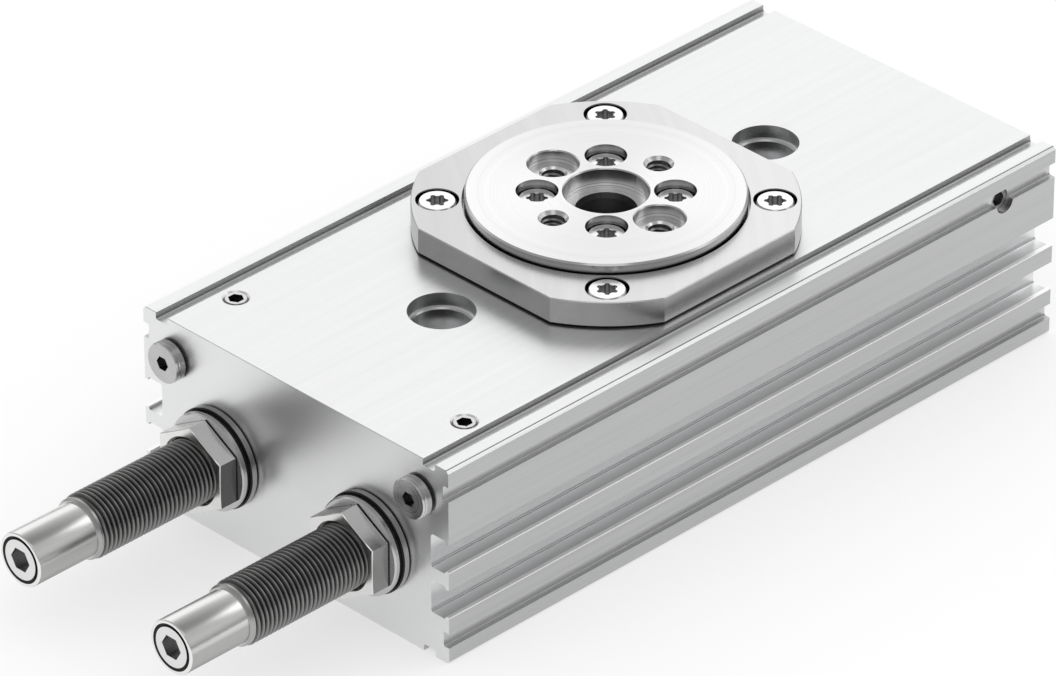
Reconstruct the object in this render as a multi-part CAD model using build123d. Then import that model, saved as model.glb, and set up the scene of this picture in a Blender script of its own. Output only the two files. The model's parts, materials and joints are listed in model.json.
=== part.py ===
from build123d import *
from math import acos, cos, pi, radians, sin, sqrt, tan
import os

# Semi-rotary actuator with twin pistons, a rack on each piston and one pinion under the output flange.
# Frame: millimetres, Z up, origin on the flange axis in the plane of the underside.
# X runs along the housing, with the shock absorbers at the -X end. Left is +Y and right is -Y.

# Housing profile
body_length = 150.0
body_width = 74.5
body_height = 38.4
body_edge_bevel = 0.45
edge_groove_width = 2.9
edge_groove_depth = 1.3
edge_groove_inset = 3.15
edge_groove_round = 0.4
slot_height = 6.6
slot_mouth = 5.5
slot_depth = 4.25
slot_lip = 0.75
slot_round = 0.55
lower_slot_centre = 12.0
upper_slot_centre = 21.1

# Cylinders
bore_diameter = 25.0
bore_spacing = 37.2
bore_centre_height = 16.4
front_wall = 11.4
rear_cover_thickness = 7.5
rear_cover_inset = 0.8
running_clearance = 0.05
fit_clearance = 0.02
cut_margin = 1.0

# Pinion and racks
gear_module = 1.0
pinion_teeth = 20
pressure_angle = 20.0
flank_backlash = 0.08
tip_clearance = 0.25
gear_width = 12.0
gear_centre_height = 16.5
swing_half = 90.0
rack_clearance = 0.2
rack_tip_room = 0.4
rack_flat_margin = 0.5
rack_end_play = 1.2
rack_head_round = 0.8
shaft_bore_diameter = 11.0
journal_diameter = 15.0
shaft_end_height = 1.0
gear_neck_diameter = 17.2
lower_shoulder_diameter = 16.6
pinion_shoulder_thickness = 1.6
pinion_head_screw_depth = 7.6
pinion_head_pocket_diameter = 5.2
pinion_head_pocket_depth = 4.0
cavity_clearance = 1.3

# Upper bearing
upper_bearing_bore = 35.0
upper_bearing_outside = 47.0
upper_bearing_width = 7.0
upper_ball_diameter = 3.2
upper_ball_count = 14
upper_seat_depth = 4.8
upper_seat_shoulder = 2.6
upper_recess_depth = 2.0

# Lower bearing
lower_bearing_outside = 21.0
lower_bearing_width = 4.0
lower_ball_diameter = 1.6
lower_ball_count = 10
lower_lip_height = 2.6
lower_lip_diameter = 18.6
lower_seat_margin = 2.0
bearing_shoulder = 1.1
ball_clearance = 0.04

# Shares of the ball's diameter
bearing_land_share = 0.3
cage_thickness_share = 0.3
cage_height_share = 1.3

# Bearing plate
plate_across = 59.8
plate_corner_diameter = 67.9
plate_thickness = 5.2
plate_bevel = 0.35
plate_lip_height = 1.0
plate_screw_radius = 29.3
flange_gap = 0.46
flange_floor_gap = 0.3
dust_seal_height = 0.8
dust_seal_width = 2.0

# Output flange
flange_diameter = 49.3
flange_rise = 1.84
flange_bevel = 0.3
flange_boss_diameter = 38.5
centring_diameter = 15.0
centring_depth = 3.6
centring_bevel = 0.2
flange_hole_circle = 26.0
flange_thread_diameter = 4.2
flange_thread_bevel = 0.6
sleeve_seat_diameter = 9.0
sleeve_seat_depth = 2.07
sleeve_seat_bevel = 0.2
sleeve_thread_bevel = 0.4
flange_screw_circle = 24.0
flange_screw_sink = 1.5
flange_counterbore = 7.5

# Screws of the plate and the flange
screw_diameter = 3.9
screw_head_diameter = 7.0
screw_head_bevel = 0.38
screw_tip_bevel = 0.5
screw_hole_clearance = 0.5
plate_counterbore = 7.7
lobe_socket_across = 3.9
lobe_radius = 0.47
lobe_socket_depth = 1.3
plate_screw_head = 2.6
plate_screw_wall = 0.95
plate_screw_sink = 0.15
plate_screw_end_gap = 0.4
flange_screw_head = 2.0
flange_screw_length = 8.2

# Fixing holes
fixing_spacing = 80.0
fixing_sleeve_diameter = 12.0
fixing_sleeve_depth = 2.7
fixing_head_diameter = 10.8
fixing_head_depth = 6.2
fixing_through_diameter = 6.6
fixing_step_bevel = 0.3

# Absorbers
absorber_thread_diameter = 11.9
absorber_end_diameter = 10.1
absorber_reach = 46.1
absorber_end_length = 13.1
absorber_thread_bevel = 0.5
absorber_thread_pitch = 1.0
absorber_thread_height = 0.59
absorber_thread_land = 0.3
absorber_end_bevel = 0.2
absorber_bore_diameter = 8.76
absorber_inner_reach = 1.6
end_plug_diameter = 7.86
end_plug_length = 4.0
end_plug_socket = 4.0
end_plug_socket_depth = 2.2
end_ring_width = 1.0
end_ring_recess = 0.15
cartridge_face_recess = 4.4
cartridge_rod_room = 1.0
plunger_head_diameter = 7.2
plunger_head_bevel = 0.7
plunger_rod_diameter = 3.0
plunger_reach = 5.0
plunger_rod_length = 18.0
plunger_stroke = 4.0
plunger_gap = 0.3

# Rings and nut round each absorber
seat_ring_diameter = 18.9
seat_ring_thickness = 1.55
sealing_ring_diameter = 18.0
sealing_ring_thickness = 0.65
washer_diameter = 18.26
washer_thickness = 0.95
nut_across_flats = 15.0
nut_thickness = 3.9
nut_thread_bevel = 0.5
nut_corner_slope = 30.0
ring_bevel = 0.25
sealing_ring_bevel = 0.1

# Ports and drillings
port_inset = 7.15
port_drop = 7.5
port_thread_diameter = 5.0
port_thread_depth = 7.0
port_tap_diameter = 4.2
plug_head_diameter = 7.58
plug_head_thickness = 1.9
plug_edge_bevel = 0.2
plug_groove_start = 0.4
plug_groove_width = 0.4
plug_groove_depth = 0.25
plug_ring_thickness = 0.5
plug_ring_diameter = 7.2
plug_shank_length = 5.0
plug_socket = 2.5
plug_socket_depth = 1.4
channel_diameter = 3.3
top_screw_inset = 9.35
top_screw_station = 62.0
top_screw_diameter = 4.2
top_screw_length = 4.0
top_screw_sink = 0.05
top_screw_floor_gap = 0.1
top_screw_hole_bevel = 0.35
side_screw_drop = 5.8
side_screw_diameter = 4.2
side_screw_sink = 1.65
side_screw_length = 4.5
set_screw_bevel = 0.2
set_screw_socket = 2.5
set_screw_socket_depth = 2.0

# Piston furniture
seal_groove_depth = 1.6
seal_width = 2.4
guide_width = 4.0
guide_thickness = 1.0
magnet_width = 3.0
magnet_thickness = 2.5
head_land = 2.2
ring_land = 1.2

# Rear covers
cover_ring_section = 1.8
cover_ring_setback = 2.4
circlip_thickness = 1.2
circlip_height = 1.9
circlip_groove_depth = 0.6
circlip_gap_angle = 36.0
circlip_eye_hole = 1.7
circlip_eye_gap = 0.3
cover_thread_diameter = 4.2
cover_thread_depth = 5.0

# Places worked out from the values above
half_length = body_length / 2
half_width = body_width / 2
bore_offset = bore_spacing / 2
bore_radius = bore_diameter / 2
bore_front = -half_length + front_wall
cover_front = half_length - rear_cover_inset - circlip_thickness - rear_cover_thickness
pitch_radius = gear_module * pinion_teeth / 2
tip_radius = pitch_radius + gear_module
root_radius = pitch_radius - gear_module - tip_clearance
base_radius = pitch_radius * cos(radians(pressure_angle))
gear_bottom = gear_centre_height - gear_width / 2
rack_travel = pitch_radius * radians(swing_half)
upper_bearing_bottom = body_height - upper_seat_depth
upper_bearing_top = upper_bearing_bottom + upper_bearing_width
upper_recess_floor = upper_bearing_bottom - upper_recess_depth
lower_bearing_top = lower_lip_height + lower_bearing_width
port_offset = half_width - port_inset
port_height = body_height - port_drop
top_screw_offset = half_width - top_screw_inset
side_screw_height = body_height - side_screw_drop
plate_top = body_height + plate_thickness
plate_lip_top = upper_bearing_top + plate_lip_height
flange_underside = plate_lip_top + flange_floor_gap
flange_top = plate_top + flange_rise
cavity_radius = tip_radius + cavity_clearance
sleeve_outer_end = -half_length - absorber_reach
sleeve_step = sleeve_outer_end + absorber_end_length
sleeve_inner_end = bore_front + absorber_inner_reach
plunger_tip = sleeve_inner_end + plunger_reach
rack_front = plunger_tip + plunger_gap + rack_travel
rack_rear = cover_front - rack_end_play - rack_travel
thread_hole_radius = absorber_thread_diameter / 2 + running_clearance
sides = {"left": 1, "right": -1}


def turned_z(points):
    """Solid of revolution about Z from (radius, height) points."""
    return revolve(Plane.XZ * make_face(Polyline(*points, close=True)), Axis.Z)


def turned_x(points):
    """Solid of revolution about X from (x, radius) points."""
    return revolve(make_face(Polyline(*points, close=True)), Axis.X)


def rod_z(diameter, low, high):
    """Cylinder on Z between two heights."""
    return Pos(0, 0, low) * extrude(Circle(diameter / 2), high - low)


def rod_x(diameter, start, end):
    """Cylinder on X between two stations."""
    return extrude(Plane.YZ.offset(start) * Circle(diameter / 2), end - start)


def tube_x(outside, inside, start, end):
    """Plain ring on X."""
    return rod_x(outside, start, end) - rod_x(inside, start, end)


def on_cylinder(part, side):
    """Move a part made on the X axis to the axis of one cylinder."""
    return Pos(0, sides[side] * bore_offset, bore_centre_height) * part


def round_the_flange(part, radius, first_angle, count):
    """Copies of a part made on Z, spread evenly on a circle."""
    return [loc * part for loc in PolarLocations(radius, count, first_angle)]


# Housing

def edge_groove():
    """Section of a narrow groove, centred on the surface that it is cut in."""
    return RectangleRounded(edge_groove_width, 2 * edge_groove_depth, edge_groove_round)


def sensor_slot():
    """Section of a sensor slot in the +Y side: a pocket behind two lips."""
    pocket_depth = slot_depth - slot_lip
    pocket_centre = half_width - slot_lip - pocket_depth / 2
    mouth_centre = half_width - slot_lip
    pocket = Pos(pocket_centre, 0) * RectangleRounded(pocket_depth, slot_height, slot_round)
    mouth = Pos(mouth_centre, 0) * Rectangle(slot_depth, slot_mouth)
    return pocket + mouth


def housing_section():
    """Outline of the extruded profile, seen along X."""
    blank = Pos(0, body_height / 2) * Rectangle(body_width, body_height)
    section = chamfer(blank.vertices(), body_edge_bevel)
    inset = edge_groove_inset + edge_groove_width / 2
    for side in (1, -1):
        for height in (0, body_height):
            section -= Pos(side * (half_width - inset), height) * edge_groove()
        for height in (inset, body_height - inset):
            section -= Pos(side * half_width, height) * Rot(0, 0, 90) * edge_groove()
        for height in (lower_slot_centre, upper_slot_centre):
            slot = Pos(0, height) * sensor_slot()
            section -= slot if side > 0 else mirror(slot, Plane.YZ)
    return section


def gear_case():
    """Space for the pinion, its journal and both bearings, open at the top and the underside."""
    lip = lower_lip_diameter / 2
    lower_seat = lower_bearing_outside / 2
    lower_seat_top = lower_bearing_top + lower_seat_margin
    upper_seat = upper_bearing_outside / 2
    shoulder = upper_seat - upper_seat_shoulder
    return turned_z([(0, -cut_margin), (lip, -cut_margin), (lip, lower_lip_height),
                     (lower_seat, lower_lip_height), (lower_seat, lower_seat_top),
                     (cavity_radius, lower_seat_top), (cavity_radius, upper_recess_floor),
                     (shoulder, upper_recess_floor), (shoulder, upper_bearing_bottom),
                     (upper_seat, upper_bearing_bottom), (upper_seat, body_height + cut_margin),
                     (0, body_height + cut_margin)])


def cylinder_cut(side):
    """One cylinder bore from the rear, with its circlip groove, and the absorber hole in the front wall."""
    bore = rod_x(bore_diameter, bore_front, half_length + cut_margin)
    groove_end = half_length - rear_cover_inset
    groove = rod_x(bore_diameter + 2 * circlip_groove_depth, groove_end - circlip_thickness, groove_end)
    wall_hole = rod_x(2 * thread_hole_radius, -half_length - cut_margin, bore_front + cut_margin)
    return on_cylinder(bore + groove + wall_hole, side)


def fixing_cut():
    """Sleeve seat, head counterbore and through hole for one fixing screw."""
    seat = fixing_sleeve_diameter / 2
    head = fixing_head_diameter / 2
    through = fixing_through_diameter / 2
    step = body_height - fixing_sleeve_depth
    floor = body_height - fixing_head_depth
    above = body_height + cut_margin
    return turned_z([(0, -cut_margin), (through, -cut_margin), (through, floor), (head, floor),
                     (head, step - fixing_step_bevel), (head + fixing_step_bevel, step), (seat, step),
                     (seat, above), (0, above)])


def air_cuts(side):
    """Port threads at both ends, the channel between them, and the drillings that meet it."""
    sign = sides[side]
    thread = port_thread_diameter + 2 * fit_clearance
    thread_end = half_length - port_thread_depth
    front = rod_x(thread, -half_length - cut_margin, -thread_end)
    rear = rod_x(port_tap_diameter, thread_end, half_length + cut_margin)
    channel = rod_x(channel_diameter, -thread_end, thread_end)
    along = Pos(0, sign * port_offset, port_height) * (front + rear + channel)
    seat_floor = body_height - top_screw_sink - top_screw_length - top_screw_floor_gap
    seat_radius = top_screw_diameter / 2 + fit_clearance
    mouth = seat_radius + top_screw_hole_bevel
    seat = turned_z([(0, seat_floor), (seat_radius, seat_floor),
                     (seat_radius, body_height - top_screw_hole_bevel), (mouth, body_height),
                     (mouth, body_height + cut_margin), (0, body_height + cut_margin)])
    drop = rod_z(channel_diameter, bore_centre_height + bore_radius / 2, body_height)
    down = Pos(-top_screw_station, sign * top_screw_offset, 0) * (seat + drop)
    facing = Plane((top_screw_station, sign * (half_width + cut_margin), side_screw_height),
                   z_dir=(0, -sign, 0))
    screw_hole = extrude(facing * Circle(side_screw_diameter / 2 + fit_clearance),
                         cut_margin + side_screw_sink + side_screw_length)
    return along + down + screw_hole


def make_housing():
    """Extruded profile with every bore and drilling."""
    housing = extrude(Plane.YZ.offset(-half_length) * housing_section(), body_length)
    housing -= gear_case()
    for side in sides:
        housing -= cylinder_cut(side)
        housing -= air_cuts(side)
    for end in (1, -1):
        housing -= Pos(end * fixing_spacing / 2, 0, 0) * fixing_cut()
    hole = rod_z(screw_diameter + 2 * fit_clearance, plate_screw_floor(), body_height + cut_margin)
    housing -= round_the_flange(hole, plate_screw_radius, 45, 4)
    return housing


# Bearings

def ball_bearing(bore, outside, width, ball, count, bottom):
    """Outer ring, inner ring, balls and cage of a deep groove bearing that stands on a height."""
    pitch = (bore + outside) / 4
    middle = bottom + width / 2
    land = ball * bearing_land_share
    track = Pos(0, 0, middle) * Torus(pitch, ball / 2 + ball_clearance)
    outer = rod_z(outside, bottom, bottom + width) - rod_z(2 * (pitch + land), bottom, bottom + width)
    inner = rod_z(2 * (pitch - land), bottom, bottom + width) - rod_z(bore, bottom, bottom + width)
    balls = round_the_flange(Pos(0, 0, middle) * Sphere(ball / 2), pitch, 0, count)
    cage_thickness = ball * cage_thickness_share
    cage_low = middle - ball * cage_height_share / 2
    cage_high = middle + ball * cage_height_share / 2
    cage = rod_z(2 * pitch + cage_thickness, cage_low, cage_high)
    cage -= rod_z(2 * pitch - cage_thickness, cage_low, cage_high)
    pocket = Pos(0, 0, middle) * Rot(0, 90, 0) * Cylinder(ball / 2 + ball_clearance, ball)
    cage -= round_the_flange(pocket, pitch, 0, count)
    return {"outer_ring": outer - track, "inner_ring": inner - track, "balls": balls, "cage": cage}


# Pinion

def involute_angle(radius):
    """Polar angle, in radians, that the involute has turned through at a radius."""
    roll = sqrt(max((radius / base_radius) ** 2 - 1, 0))
    return roll - (acos(base_radius / radius) if radius > base_radius else 0)


def polar(radius, angle):
    return (radius * cos(angle), radius * sin(angle))


def pinion_section():
    """Outline of the toothed length: involute flanks between root and tip arcs."""
    pitch = 2 * pi / pinion_teeth
    half_tooth = pitch / 4 - flank_backlash / 2 / pitch_radius + involute_angle(pitch_radius)
    steps = 5
    edges = []
    for tooth in range(pinion_teeth):
        centre = pi / 2 + tooth * pitch
        flank = []
        for step in range(steps + 1):
            radius = base_radius + (tip_radius - base_radius) * step / steps
            flank.append((radius, half_tooth - involute_angle(radius)))
        rising = [polar(radius, centre - angle) for radius, angle in flank]
        falling = [polar(radius, centre + angle) for radius, angle in reversed(flank)]
        root_in = polar(root_radius, centre - half_tooth)
        root_out = polar(root_radius, centre + half_tooth)
        next_root = polar(root_radius, centre + pitch - half_tooth)
        edges += [Line(root_in, rising[0]), Spline(*rising),
                  ThreePointArc(rising[-1], polar(tip_radius, centre), falling[0]),
                  Spline(*falling), Line(falling[-1], root_out),
                  ThreePointArc(root_out, polar(root_radius, centre + pitch / 2), next_root)]
    return make_face(edges)


def make_pinion():
    """Hollow shaft with journal, teeth, neck, shoulder and the head that carries the flange."""
    shoulder = upper_bearing_bore / 2 + bearing_shoulder
    neck = gear_neck_diameter / 2
    head = upper_bearing_bore / 2
    journal = journal_diameter / 2
    lower_shoulder = lower_shoulder_diameter / 2
    shoulder_floor = upper_bearing_bottom - pinion_shoulder_thickness
    shaft = turned_z([(0, shaft_end_height), (journal, shaft_end_height), (journal, lower_bearing_top),
                      (lower_shoulder, lower_bearing_top), (lower_shoulder, gear_bottom),
                      (neck, gear_bottom), (neck, shoulder_floor), (shoulder, shoulder_floor),
                      (shoulder, upper_bearing_bottom), (head, upper_bearing_bottom),
                      (head, upper_bearing_top), (0, upper_bearing_top)])
    shaft += Pos(0, 0, gear_bottom) * extrude(pinion_section(), gear_width)
    above = upper_bearing_top + cut_margin
    shaft -= rod_z(shaft_bore_diameter, 0, above)
    screw_hole = rod_z(screw_diameter + 2 * fit_clearance, upper_bearing_top - pinion_head_screw_depth, above)
    shaft -= round_the_flange(screw_hole, flange_screw_circle / 2, 45, 4)
    pocket = rod_z(pinion_head_pocket_diameter, upper_bearing_top - pinion_head_pocket_depth, above)
    shaft -= round_the_flange(pocket, flange_hole_circle / 2, 0, 4)
    return shaft


# Piston racks

def rack_relief():
    """Half length of the flat that clears the pinion over the whole swing."""
    reach = bore_offset - (bore_radius - rack_clearance)
    clear = tip_radius + rack_tip_room
    return sqrt(clear ** 2 - reach ** 2) + rack_travel + rack_flat_margin


def rack_teeth_cut():
    """Everything removed from the flat side of the left rack: the flat itself and the tooth spaces."""
    flat = pitch_radius - gear_module
    root = pitch_radius + gear_module + tip_clearance
    relief = rack_relief()
    pitch = pi * gear_module
    slope = tan(radians(pressure_angle))
    tall = 2 * bore_diameter
    lowered = Pos(0, flat - bore_radius, 0) * Box(2 * relief, bore_diameter, tall)
    half_space = pitch / 4 + flank_backlash / 2
    wide = half_space + slope * gear_module
    deep = half_space - slope * (gear_module + tip_clearance)
    mouth = wide + slope * cut_margin
    outside = flat - cut_margin
    space = make_face(Polyline((-mouth, outside), (mouth, outside), (deep, root), (-deep, root), close=True))
    tooth_space = Pos(0, 0, -tall / 2) * extrude(space, tall)
    engaged = rack_travel + sqrt(tip_radius ** 2 - flat ** 2)
    spaces = 2 * int(engaged / pitch + 0.5) + 1
    cuts = lowered
    for index in range(spaces):
        cuts += Pos((index - (spaces - 1) / 2) * pitch, 0, 0) * tooth_space
    return cuts


def ring_stations():
    """Start of each ring groove along a piston rack."""
    front_seal = rack_front + head_land
    front_guide = front_seal + seal_width + ring_land
    rear_seal = rack_rear - head_land - seal_width
    rear_guide = rear_seal - ring_land - guide_width
    magnet = rear_guide - ring_land - magnet_width
    return {"front_seal": front_seal, "front_guide": front_guide,
            "rear_seal": rear_seal, "rear_guide": rear_guide, "magnet": magnet}


def make_rack(side):
    """Piston and rack in one bar: round heads with ring grooves, and a toothed flat between them."""
    radius = bore_radius - rack_clearance
    at = ring_stations()
    bevel = rack_head_round
    bar = turned_x([(rack_front, 0), (rack_front, radius - bevel), (rack_front + bevel, radius),
                    (rack_rear - bevel, radius), (rack_rear, radius - bevel), (rack_rear, 0)])
    grooves = {"front_seal": (seal_groove_depth, seal_width), "rear_seal": (seal_groove_depth, seal_width),
               "front_guide": (guide_thickness, guide_width), "rear_guide": (guide_thickness, guide_width),
               "magnet": (magnet_thickness, magnet_width)}
    for name, (depth, width) in grooves.items():
        bar -= tube_x(bore_diameter + cut_margin, 2 * (radius - depth), at[name], at[name] + width)
    bar = Pos(0, bore_offset, bore_centre_height) * bar
    bar -= rack_teeth_cut()
    return bar if side == "left" else mirror(bar, Plane.XZ)


def piston_rings(side, names, depth, width):
    """Rings in the grooves of one piston rack, with a running clearance to the cylinder."""
    radius = bore_radius - rack_clearance
    outside = bore_diameter - 2 * running_clearance
    at = ring_stations()
    rings = [tube_x(outside, 2 * (radius - depth), at[name], at[name] + width) for name in names]
    return [on_cylinder(ring, side) for ring in rings]


# Bearing plate, flange and their screws

def plate_screw_floor():
    """Floor of the plate screws' holes, which leaves a wall over the cylinders."""
    return bore_centre_height + bore_radius + plate_screw_wall


def make_plate():
    """Square plate with turned corners, stepped bore and four counterbored screw holes."""
    outline = Rectangle(plate_across, plate_across) & Circle(plate_corner_diameter / 2)
    plate = Pos(0, 0, body_height) * extrude(outline, plate_thickness)
    plate = chamfer(plate.faces().sort_by(Axis.Z)[0].edges(), plate_bevel)
    plate = chamfer(plate.faces().sort_by(Axis.Z)[-1].edges(), plate_bevel / 2)
    lip = lip_radius()
    seat = upper_bearing_outside / 2
    recess = flange_diameter / 2 + flange_gap
    below = body_height - cut_margin
    above = plate_top + cut_margin
    plate -= turned_z([(0, below), (seat, below), (seat, upper_bearing_top), (lip, upper_bearing_top),
                       (lip, plate_lip_top), (recess, plate_lip_top), (recess, above), (0, above)])
    seat_height = plate_top - plate_screw_sink - plate_screw_head
    hole = rod_z(plate_counterbore, seat_height, above)
    hole += rod_z(screw_diameter + screw_hole_clearance, below, seat_height)
    plate -= round_the_flange(hole, plate_screw_radius, 45, 4)
    return plate


def lip_radius():
    """Bore of the plate's lip, with room for the dust seal round the flange's boss."""
    return flange_boss_diameter / 2 + running_clearance + dust_seal_width


def make_dust_seal():
    """Ring in the plate's lip, round the boss of the flange."""
    low = plate_lip_top - dust_seal_height
    inside = flange_boss_diameter + 2 * running_clearance
    return rod_z(2 * lip_radius(), low, plate_lip_top) - rod_z(inside, low, plate_lip_top)


def screw(head, length):
    """Screw on Z with the top of its head at height 0: round head, six-lobe socket, plain shank."""
    outer = screw_head_diameter / 2
    shank = screw_diameter / 2
    tip = -head - length
    body = turned_z([(0, 0), (outer - screw_head_bevel, 0), (outer, -screw_head_bevel), (outer, -head),
                     (shank, -head), (shank, tip + screw_tip_bevel), (shank - screw_tip_bevel, tip),
                     (0, tip)])
    core = lobe_socket_across / 2 - lobe_radius
    socket = Circle(core) + [loc * Circle(lobe_radius) for loc in PolarLocations(core, 6)]
    return body - Pos(0, 0, -lobe_socket_depth) * extrude(socket, lobe_socket_depth + cut_margin)


def make_flange():
    """Output disc with its boss, centring bore, sleeve seats, threaded holes and sunk screw holes."""
    rim = flange_diameter / 2
    boss = flange_boss_diameter / 2
    centring = centring_diameter / 2
    bore = shaft_bore_diameter / 2
    centring_floor = flange_top - centring_depth
    flange = turned_z([(bore, upper_bearing_top), (boss, upper_bearing_top), (boss, flange_underside),
                       (rim, flange_underside), (rim, flange_top - flange_bevel),
                       (rim - flange_bevel, flange_top), (centring + centring_bevel, flange_top),
                       (centring, flange_top - centring_bevel), (centring, centring_floor),
                       (bore, centring_floor)])
    below = upper_bearing_top - cut_margin
    above = flange_top + cut_margin
    thread = flange_thread_diameter / 2
    bevel = flange_thread_bevel
    tapped = turned_z([(0, below), (thread, below), (thread, flange_top - bevel),
                       (thread + bevel + cut_margin, above), (0, above)])
    flange -= round_the_flange(tapped, flange_hole_circle / 2, 0, 2)
    seat = sleeve_seat_diameter / 2
    floor = flange_top - sleeve_seat_depth
    sleeve = turned_z([(0, below), (thread, below), (thread, floor - sleeve_thread_bevel),
                       (thread + sleeve_thread_bevel, floor), (seat, floor),
                       (seat, flange_top - sleeve_seat_bevel),
                       (seat + sleeve_seat_bevel + cut_margin, above), (0, above)])
    flange -= round_the_flange(sleeve, flange_hole_circle / 2, 90, 2)
    seat_height = flange_top - flange_screw_sink - flange_screw_head
    hole = rod_z(flange_counterbore, seat_height, above)
    hole += rod_z(screw_diameter + screw_hole_clearance, below, seat_height)
    flange -= round_the_flange(hole, flange_screw_circle / 2, 45, 4)
    return flange


# Absorbers

def make_sleeve():
    """Sleeve with its smooth outer end and one ridge per turn of thread up to the housing."""
    thread = absorber_thread_diameter / 2
    smooth = absorber_end_diameter / 2
    bore = absorber_bore_diameter / 2
    bevel = absorber_thread_bevel
    edge = absorber_end_bevel
    first = sleeve_step + bevel + absorber_thread_land
    turns = int((-half_length - first) / absorber_thread_pitch)
    outline = [(sleeve_outer_end, bore), (sleeve_outer_end, smooth - edge),
               (sleeve_outer_end + edge, smooth), (sleeve_step, smooth),
               (sleeve_step, thread - bevel), (sleeve_step + bevel, thread), (first, thread)]
    for turn in range(turns):
        valley = first + (turn + 0.5) * absorber_thread_pitch
        crest = first + (turn + 1) * absorber_thread_pitch
        outline += [(valley, thread - absorber_thread_height), (crest, thread)]
    outline += [(sleeve_inner_end - bevel, thread), (sleeve_inner_end, thread - bevel),
                (sleeve_inner_end, bore)]
    return turned_x(outline)


def make_cartridge():
    """Closed hydraulic cylinder in the sleeve, with the bore that the plunger's rod runs in."""
    outside = absorber_bore_diameter / 2 - fit_clearance
    start = sleeve_outer_end + end_plug_length
    end = sleeve_inner_end - cartridge_face_recess
    rod = plunger_rod_diameter / 2 + running_clearance
    rod_end = plunger_rod_tail() - plunger_stroke - cartridge_rod_room
    return turned_x([(start, 0), (start, outside), (end, outside), (end, rod), (rod_end, rod), (rod_end, 0)])


def make_end_plug():
    """Plug at the outer end of the sleeve, with a hex socket."""
    radius = end_plug_diameter / 2
    end = sleeve_outer_end + end_plug_length
    collar = absorber_bore_diameter / 2 - fit_clearance
    plug = turned_x([(sleeve_outer_end, 0), (sleeve_outer_end, radius),
                     (sleeve_outer_end + end_ring_width, radius), (sleeve_outer_end + end_ring_width, collar),
                     (end, collar), (end, 0)])
    socket = RegularPolygon(end_plug_socket / 2, 6, major_radius=False)
    outside = Plane.YZ.offset(sleeve_outer_end - cut_margin)
    return plug - extrude(outside * socket, cut_margin + end_plug_socket_depth)


def make_end_ring():
    """Black ring between the end plug and the sleeve."""
    outside = absorber_bore_diameter - 2 * fit_clearance
    inside = end_plug_diameter + 2 * fit_clearance
    return tube_x(outside, inside, sleeve_outer_end + end_ring_recess, sleeve_outer_end + end_ring_width)


def plunger_rod_tail():
    """Inner end of the plunger's rod at rest."""
    return plunger_tip - plunger_reach - plunger_rod_length


def make_plunger():
    """Rod with a mushroom head that the piston runs on to."""
    head = plunger_head_diameter / 2
    rod = plunger_rod_diameter / 2
    neck = plunger_tip - plunger_reach
    bevel = plunger_head_bevel
    return turned_x([(plunger_rod_tail(), 0), (plunger_rod_tail(), rod), (neck, rod), (neck, head),
                     (plunger_tip - bevel, head), (plunger_tip, head - bevel), (plunger_tip, 0)])


def front_stack():
    """Stations of the rings and the nut, counted outwards from the end face."""
    seat_ring = -half_length - seat_ring_thickness
    sealing_ring = seat_ring - sealing_ring_thickness
    washer = sealing_ring - washer_thickness
    nut = washer - nut_thickness
    return {"seat_ring": seat_ring, "sealing_ring": sealing_ring, "washer": washer, "nut": nut}


def bevelled_ring(diameter, start, thickness, front_bevel):
    """Ring round the absorber's thread, with a bevel on its outer front edge."""
    radius = diameter / 2
    hole = thread_hole_radius
    return turned_x([(start, hole), (start, radius - front_bevel), (start + front_bevel, radius),
                     (start + thickness, radius), (start + thickness, hole)])


def make_nut():
    """Hexagonal lock nut with bevelled corners, two corners up and down."""
    start = front_stack()["nut"]
    end = start + nut_thickness
    corner = nut_across_flats / sqrt(3)
    flat = nut_across_flats / 2
    drop = (corner - flat) * tan(radians(nut_corner_slope))
    hexagon = RegularPolygon(flat, 6, major_radius=False, rotation=30)
    blank = extrude(Plane.YZ.offset(start) * hexagon, nut_thickness)
    hole = thread_hole_radius
    bevel = nut_thread_bevel
    cone = turned_x([(start, hole + bevel), (start, flat), (start + drop, corner), (end - drop, corner),
                     (end, flat), (end, hole), (start + bevel, hole)])
    return blank & cone


# Plugs and small screws

def make_port_plug(side):
    """Screw plug with a grooved round head and a hex socket, outside the end face."""
    face = -half_length - plug_ring_thickness
    front = face - plug_head_thickness
    head = plug_head_diameter / 2
    shank = port_thread_diameter / 2
    edge = plug_edge_bevel
    groove = front + plug_groove_start
    groove_middle = groove + plug_groove_width / 2
    tail = -half_length + plug_shank_length
    plug = turned_x([(front, 0), (front, head - edge), (front + edge, head), (groove, head),
                     (groove_middle, head - plug_groove_depth), (groove + plug_groove_width, head),
                     (face, head), (face, shank), (tail, shank), (tail, 0)])
    socket = RegularPolygon(plug_socket / 2, 6, major_radius=False)
    plug -= extrude(Plane.YZ.offset(front - cut_margin) * socket, cut_margin + plug_socket_depth)
    return Pos(0, sides[side] * port_offset, port_height) * plug


def make_plug_ring(side):
    """O-ring under the head of a port plug."""
    start = -half_length - plug_ring_thickness
    ring = tube_x(plug_ring_diameter, port_thread_diameter + 2 * fit_clearance, start, -half_length)
    return Pos(0, sides[side] * port_offset, port_height) * ring


def set_screw(diameter, length, sink):
    """Set screw on Z with its socket end at height 0, less its sink."""
    radius = diameter / 2
    bevel = set_screw_bevel
    body = turned_z([(0, -sink), (radius - bevel, -sink), (radius, -sink - bevel), (radius, -sink - length),
                     (0, -sink - length)])
    socket = RegularPolygon(set_screw_socket / 2, 6, major_radius=False)
    return body - Pos(0, 0, -sink - set_screw_socket_depth) * extrude(socket, length)


def make_top_screws():
    """Set screws that close the drop drillings, flush with the top."""
    screw_body = set_screw(top_screw_diameter, top_screw_length, top_screw_sink)
    return [Pos(-top_screw_station, sign * top_screw_offset, body_height) * screw_body
            for sign in sides.values()]


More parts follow.
